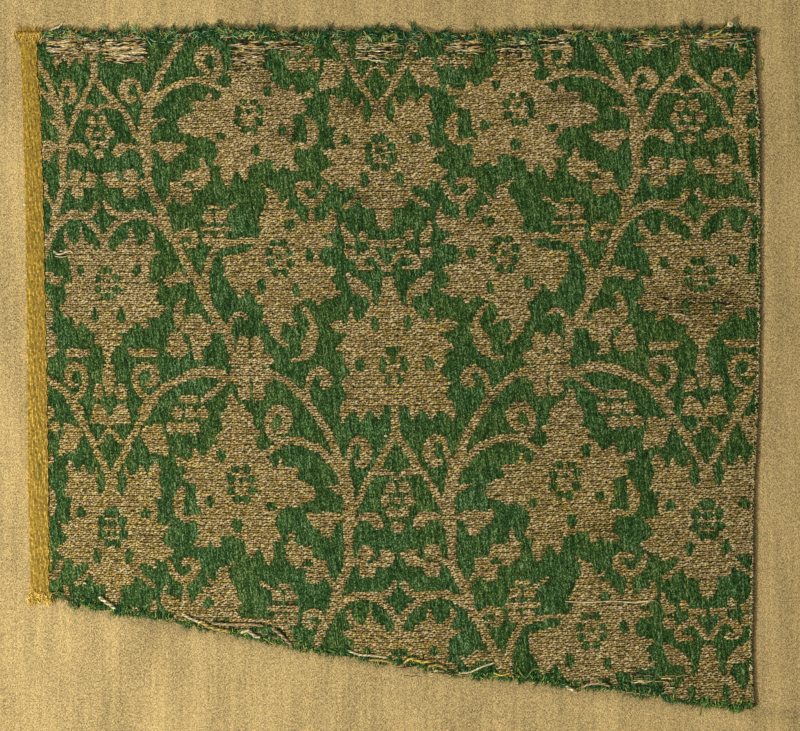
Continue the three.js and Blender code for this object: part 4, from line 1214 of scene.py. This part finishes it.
# Loose yarns that stand out: colour, radius, turns of twist a millimetre, and points of x, y and lift
LOOSE_YARNS = (
    (CREAM, 0.3, 0.5, ((-84.9, 84.2, 0.1), (-83.6, 84.9, 0.4), (-82.4, 85.3, 0.5), (-81.3, 86.4, 0.2))),
    (BRIGHT_YELLOW, 0.34, 0.4, ((81.0, 82.9, 0.3), (82.6, 83.6, 0.5), (84.2, 85.0, 0.6), (85.4, 85.8, 0.4))),
    (OCHRE, 0.24, 0.4, ((78.6, 83.2, 0.2), (80.6, 82.6, 0.4), (83.0, 82.8, 0.4), (85.8, 83.6, 0.2))),
    (TAN, 0.26, 0.4, ((43.6, 84.8, 0.2), (46.4, 84.0, 0.5), (50.0, 84.6, 0.5), (54.4, 84.2, 0.4),
                      (57.2, 84.6, 0.2))),
    (CREAM, 0.24, 0.3, ((-83.6, 29.2, 0.2), (-82.3, 28.4, 0.6), (-80.9, 28.7, 0.7), (-79.6, 29.3, 0.5),
                        (-78.6, 28.6, 0.2))),
    (CREAM, 0.18, 0.0, ((-83.2, 27.9, 0.2), (-81.6, 27.7, 0.5), (-80.2, 27.9, 0.2))),
    (CREAM, 0.24, 0.0, ((44.2, -58.3, 0.3), (50.0, -58.5, 0.35), (56.0, -58.2, 0.35), (61.0, -58.5, 0.35),
                         (66.9, -58.0, 0.3))),
    (GOLD, 0.17, 0.0, ((-44.0, 32.2, 0.3), (-38.0, 31.9, 0.35), (-31.5, 31.8, 0.3))),
    (CREAM, 0.42, 0.32, ((-72.2, -57.2, 0.3), (-71.0, -58.0, 0.6), (-69.6, -59.0, 0.6), (-68.0, -60.2, 0.2))),
    (CREAM, 0.32, 0.4, ((-51.4, -61.4, 0.3), (-49.6, -62.4, 0.6), (-47.2, -63.4, 0.5), (-46.0, -63.6, 0.3))),
    (OCHRE, 0.4, 0.3, ((-47.0, -63.2, 0.3), (-44.6, -64.6, 0.6), (-42.0, -65.4, 0.6), (-39.2, -65.8, 0.3))),
    (TAN, 0.34, 0.32, ((-44.0, -63.8, 0.3), (-39.6, -64.0, 0.5), (-35.0, -64.0, 0.5), (-31.0, -64.4, 0.3))),
    (CREAM, 0.4, 0.3, ((-36.8, -66.2, 0.3), (-35.0, -65.6, 0.6), (-33.4, -66.8, 0.6), (-31.8, -67.4, 0.2))),
    (TAN, 0.36, 0.35, ((-29.0, -65.0, 0.3), (-27.0, -66.4, 0.5), (-25.4, -68.0, 0.5), (-23.8, -69.6, 0.2))),
    (CREAM, 0.28, 0.45, ((-10.0, -70.6, 0.3), (-7.0, -71.6, 0.4), (-4.0, -71.8, 0.4), (0.0, -72.4, 0.3))),
    (OCHRE, 0.3, 0.45, ((-5.0, -72.9, 0.3), (-2.0, -73.0, 0.5), (1.4, -73.6, 0.2))),
    (BRIGHT_YELLOW, 0.36, 0.25, ((4.0, -73.8, 0.3), (5.6, -72.6, 0.6), (8.6, -73.4, 0.5),
                                 (11.0, -73.2, 0.2))),
    (OCHRE, 0.34, 0.3, ((10.0, -74.6, 0.3), (12.4, -74.2, 0.6), (14.8, -75.2, 0.2))),
    (CREAM, 0.26, 0.4, ((17.6, -76.2, 0.2), (20.4, -76.0, 0.4), (23.6, -74.6, 0.4), (26.8, -73.6, 0.3))),
    (BRIGHT_YELLOW, 0.34, 0.0, ((26.4, -76.2, 0.3), (28.4, -76.8, 0.4), (30.6, -76.2, 0.3))),
    (YELLOW_GREEN, 0.18, 0.3, ((32.4, -75.0, 0.3), (34.4, -77.4, 0.4), (36.6, -75.2, 0.4),
                               (40.6, -76.2, 0.3))),
    (CREAM, 0.4, 0.3, ((44.4, -79.6, 0.2), (46.0, -80.4, 0.5), (47.4, -81.2, 0.1))),
    (TAN, 0.34, 0.35, ((48.2, -80.0, 0.3), (50.2, -79.0, 0.5), (53.4, -78.8, 0.5), (55.6, -79.6, 0.3))),
    (TAN, 0.24, 0.3, ((56.0, -80.4, 0.2), (61.0, -81.2, 0.4), (66.0, -81.8, 0.2))),
    (FRESH_GREEN, 0.14, 0.0, ((78.4, -83.4, 0.2), (78.2, -85.4, 0.2), (77.9, -87.2, 0.0))),
    (FRESH_GREEN, 0.2, 0.0, ((92.2, 78.2, 0.3), (93.4, 76.4, 0.4), (93.2, 74.2, 0.2))),
    (FRESH_GREEN, 0.18, 0.0, ((92.6, 43.5, 0.3), (93.4, 42.0, 0.3), (92.9, 39.8, 0.1))),
    (FRESH_GREEN, 0.12, 0.0, ((-87.2, -23.0, 0.3), (-87.0, -25.4, 0.4), (-87.1, -28.0, 0.3))),
)
# The knot's middle, and the flecks: x, y, colour and radius
KNOT = (85.6, 85.9)
FLECKS = ((-83.2, 37.7, BRIGHT_YELLOW, 0.5), (-75.7, -53.8, CREAM, 0.4), (-0.5, -17.0, CREAM, 0.4),
          (-90.8, 40.8, CREAM, 0.45), (-90.5, 23.2, CREAM, 0.35))


def loose_yarns(material):
    """Two-ply yarn ends, a knot and pale flecks."""
    yarns = Strands()
    for colour, radius, twist, places in LOOSE_YARNS:
        track = smooth(places, 8)
        x, y = track[:, 0], track[:, 1]
        floor = np.where(on_silk(x, y), silk_top(x, y), LINEN_TOP + 0.15)
        centre = np.column_stack((x, y, floor + radius * 0.5 + 0.6 * track[:, 2]))
        far = np.concatenate(([0], np.cumsum(np.hypot(np.diff(x), np.diff(y)))))
        taper = np.minimum(1, 0.3 + 4 * np.sin(math.pi * np.linspace(0, 1, len(x))).clip(0))
        for ply in ((0.0, math.pi) if twist else (0.0,)):
            turn = 2 * math.pi * twist * far + ply
            sway = radius * 0.6 * bool(twist)
            aside = np.column_stack((sway * np.sin(turn) * 0.5, sway * np.sin(turn), sway * np.cos(turn)))
            # Painted shade and light: each ply is darker where the two lie side by side with the groove
            # between them, paler where one lies over the other
            beads = 1.1 * (np.abs(np.cos(turn)) - 0.8) * bool(twist)
            light = np.exp(rng.normal(0, 0.2, len(x)) + beads)[:, None]
            yarns.add(centre + aside, 0.58 * radius * taper, colour[None, :] * light, 7)
    turn = np.linspace(0, 4 * math.pi, 30)
    coil = np.column_stack((KNOT[0] + 0.5 * np.cos(turn), KNOT[1] + 0.4 * np.sin(turn),
                            LINEN_TOP + 1.2 + 0.35 * np.sin(turn / 2)))
    yarns.add(coil, 0.32, CREAM, 8)
    for x, y, colour, radius in FLECKS:
        z = float(silk_top(x, y)) + 0.25
        track = ((x - radius, y, z - 0.1), (x - radius / 3, y + 0.1, z + 0.1), (x + radius / 2, y, z + 0.1),
                 (x + radius, y - 0.1, z - 0.1))
        yarns.add(track, (0.15, radius * 0.6, radius * 0.6, 0.15), colour, 7)
    return yarns.piece("loose_yarns", material)


# The linen: its thickness, rounds and turnover, the spacing of its mesh, the map's size and its threads
LINEN_SHELL = 0.6
LINEN_EDGE_ROUND = 1.6
LINEN_CORNER_ROUND = 2.2
LINEN_TURNOVER = 20.0
RING_STEP = 4.0
THREAD_MAP = 300.0
LINEN_PITCH = 0.26


def ring(inset, corner):
    """A rounded rectangle inside the mount's outline, always with the same points a side."""
    half_width, half_length = MOUNT_HALF_WIDTH - inset, max(MOUNT_HALF_LENGTH - inset, 0.0)
    corner = min(corner, half_length, half_width)
    straight_x = np.linspace(-1, 1, round(2 * MOUNT_HALF_WIDTH / RING_STEP))
    straight_y = np.linspace(-1, 1, round(2 * MOUNT_HALF_LENGTH / RING_STEP))
    arc = np.linspace(0, math.pi / 2, 6)[1:-1]
    a, b = half_width - corner, half_length - corner
    points = []
    for quarter, straight in enumerate((straight_y, straight_x, straight_y, straight_x)):
        turn = quarter * math.pi / 2
        if quarter % 2 == 0:
            flip = 1 if quarter == 0 else -1
            points += [(flip * half_width, flip * b * t) for t in straight]
            centre = (flip * a, flip * b)
        else:
            flip = 1 if quarter == 1 else -1
            points += [(-flip * a * t, flip * half_length) for t in straight]
            centre = (-flip * a, flip * b)
        points += [(centre[0] + corner * math.cos(turn + t), centre[1] + corner * math.sin(turn + t))
                   for t in arc]
    return np.array(points)


def linen_profile():
    """The linen's skin from the middle of the front, over the edge and under, then back inside."""
    quarter = np.linspace(0, math.pi / 2, 6)
    r, shell = LINEN_EDGE_ROUND, LINEN_SHELL
    outer = [(inset, LINEN_TOP) for inset in np.arange(MOUNT_HALF_LENGTH, r, -RING_STEP)]
    outer += [(r - r * math.sin(t), LINEN_TOP - r + r * math.cos(t)) for t in quarter]
    outer += [(0, z) for z in (10.5, 7.5, 4.5)]
    outer += [(r - r * math.cos(t), r - r * math.sin(t)) for t in quarter]
    outer += [(inset, 0) for inset in (5, 9, 13, 17, LINEN_TURNOVER - 0.3)]
    inner_round = r - shell
    inner = [(LINEN_TURNOVER, shell / 2)] + [(inset, shell) for inset in (LINEN_TURNOVER - 0.3, 17, 13, 9, 5)]
    inner += [(r - inner_round * math.sin(t), r - inner_round * math.cos(t)) for t in quarter]
    inner += [(shell, z) for z in (4.5, 7.5, 10.5)]
    inner += [(r - inner_round * math.cos(t), LINEN_TOP - r + inner_round * math.sin(t)) for t in quarter]
    inner += [(inset, LINEN_TOP - shell) for inset in np.arange(MOUNT_HALF_LENGTH, r, -RING_STEP)[::-1]]
    return outer + inner, len(outer)


def linen_cover(material):
    """The linen as rings, from the middle of the front round the edge and onto the back."""
    profile, outer_count = linen_profile()
    rings, reach = [], []
    travelled = 0.0
    before = profile[0]
    for number, (inset, z) in enumerate(profile):
        corner = LINEN_CORNER_ROUND if inset < 3 else LINEN_CORNER_ROUND * 0.5
        loop = ring(inset, corner)
        travelled += math.hypot(inset - before[0], z - before[1])
        before = (inset, z)
        height = np.full(len(loop), float(z))
        on_back = number >= outer_count - 5 and number <= outer_count + 5
        if on_back:
            off_mitre = np.abs(np.abs(loop[:, 0]) - MOUNT_HALF_WIDTH - np.abs(loop[:, 1]) + MOUNT_HALF_LENGTH)
            height = height + 0.35 * np.exp(-((off_mitre / 1.2) ** 2)) * (1 if z < LINEN_SHELL / 2 else 0.3)
        rings.append(np.column_stack((loop, height)))
        reach.append(travelled)
    count = len(rings[0])
    points = np.vstack(rings)
    faces = grid_faces(len(rings), count)
    index = np.arange(len(rings) * count).reshape(len(rings), count)
    seam = np.column_stack((index[:-1, -1], index[1:, -1], index[1:, 0], index[:-1, 0]))
    faces = np.vstack((faces, seam))
    piece = mesh_piece("linen_cover", points, faces, material)
    thread_map(piece.data, rings, reach)
    return piece


def thread_map(mesh, rings, reach):
    """Where each point lay on the linen before it was folded round the strainer."""
    flat = []
    for loop, travelled in zip(rings, reach):
        beyond = travelled - MOUNT_HALF_LENGTH
        outward = np.array((MOUNT_HALF_WIDTH, MOUNT_HALF_LENGTH))
        share = np.abs(loop[:, :2]) / outward
        step = np.where(share > 0.97, np.sign(loop[:, :2]) * max(beyond, 0.0), 0.0)
        flat.append(loop[:, :2] + step)
    flat = np.vstack(flat) / THREAD_MAP
    index = np.zeros(len(mesh.loops), np.int32)
    mesh.loops.foreach_get("vertex_index", index)
    layer = mesh.uv_layers.new(name="Threads")
    layer.data.foreach_set("uv", flat[index].ravel())


def dress_wood():
    """Bare pine for the strainer's bars, waxed hardwood for the frame's rails."""
    for side in ("top", "bottom", "left", "right"):
        along_y = side in ("left", "right")
        pine = wood("pine_" + side, srgb(186, 148, 100), srgb(222, 190, 142), along_y, 0.7)
        walnut = wood("walnut_" + side, srgb(72, 44, 25), srgb(122, 82, 50), along_y, 0.42, 0.15)
        for node, material in (("strainer_bar_", pine), ("frame_rail_", walnut)):
            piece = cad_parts[node + side]
            piece.data.materials.clear()
            piece.data.materials.append(material)


FIELD_WIDTH = 200.0
FIELD_CENTRE = (3.0, 0.625)
LENS = 120.0
SENSOR = 36.0


def camera():
    """Square on to the fragment, as wide as the picture's field."""
    data = bpy.data.cameras.new("camera")
    data.lens = LENS
    data.sensor_width = SENSOR
    data.clip_start = 0.01
    made = bpy.data.objects.new("camera", data)
    above = LINEN_TOP + SILK_THICKNESS + FIELD_WIDTH * LENS / SENSOR
    made.location = (FIELD_CENTRE[0] * MM, FIELD_CENTRE[1] * MM, above * MM)
    bpy.context.scene.collection.objects.link(made)
    bpy.context.scene.camera = made


def area_light(name, place, size, power, colour):
    """A round light that faces the object."""
    data = bpy.data.lights.new(name, "AREA")
    data.shape = "DISK"
    data.size = size
    data.energy = power
    data.color = colour
    made = bpy.data.objects.new(name, data)
    made.location = place
    made.rotation_euler = (-made.location).to_track_quat("-Z", "Y").to_euler()
    bpy.context.scene.collection.objects.link(made)


def studio():
    """A key light from the lower left, a fill from above and a dim even sky."""
    area_light("key", (-0.42, -0.34, 0.42), 0.12, 4.3, (1.0, 0.97, 0.91))
    area_light("fill", (-0.35, 0.5, 0.6), 0.4, 2.0, (1.0, 0.98, 0.92))
    world = bpy.data.worlds.new("studio")
    world.use_nodes = True
    world.node_tree.nodes["Background"].inputs["Color"].default_value = (1.0, 0.98, 0.95, 1)
    world.node_tree.nodes["Background"].inputs["Strength"].default_value = 0.155
    bpy.context.scene.world = world
    bpy.context.scene.view_settings.view_transform = "Standard"


def floor():
    """A plain pale floor."""
    mesh = bpy.data.meshes.new("floor")
    reach = 3.0
    mesh.from_pydata([(-reach, -reach, 0), (reach, -reach, 0), (reach, reach, 0), (-reach, reach, 0)], [],
                     [(0, 1, 2, 3)])
    nodes = Nodes("floor_plaster")
    mottle = nodes.noise(nodes.coordinates((0.02, 0.02, 0.02)), detail=3)
    colour = nodes.mix(nodes.ramp(mottle, 0.3, 0.7), (0.74, 0.73, 0.71), (0.8, 0.79, 0.77))
    mesh.materials.append(nodes.finish(colour, Roughness=0.8))
    made = bpy.data.objects.new("floor", mesh)
    bpy.context.scene.collection.objects.link(made)
    made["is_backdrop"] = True


camera()
studio()
floor()
chart = charted_pattern()
silk = silk_ground(chart, ground_silk())
picks = weft_picks(chart)
upper_picks = [pick for pick in picks if pick[1] < WEFT_SPLIT]
lower_picks = [pick for pick in picks if pick[1] >= WEFT_SPLIT]
weft_silk = yarn_silk("pattern_weft", 0.55, (1.2, 7, 2), 1.3, 0.08)
upper_weft = weft_mesh(upper_picks, "pattern_weft_upper", weft_silk)
lower_weft = weft_mesh(lower_picks, "pattern_weft_lower", weft_silk)
selvage = selvage_warps(yarn_silk("selvage_silk", 0.5))
frayed_silk = yarn_silk("frayed_silk", 0.6)
upper_ends = upper_frays(frayed_silk)
lower_ends = lower_frays(frayed_silk)
loose_silk = yarn_silk("loose_silk", 0.5)
slack = loosened_picks(loose_silk)
yarns = loose_yarns(loose_silk)
linen = linen_cover(linen_cloth())
dress_wood()

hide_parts("lampas_fragment")
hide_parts("mount_linen")

sizes = {"cad": CAD_BOX, "visual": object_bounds()}
sizes = {name: [[float(value) for value in corner] for corner in box] for name, box in sizes.items()}
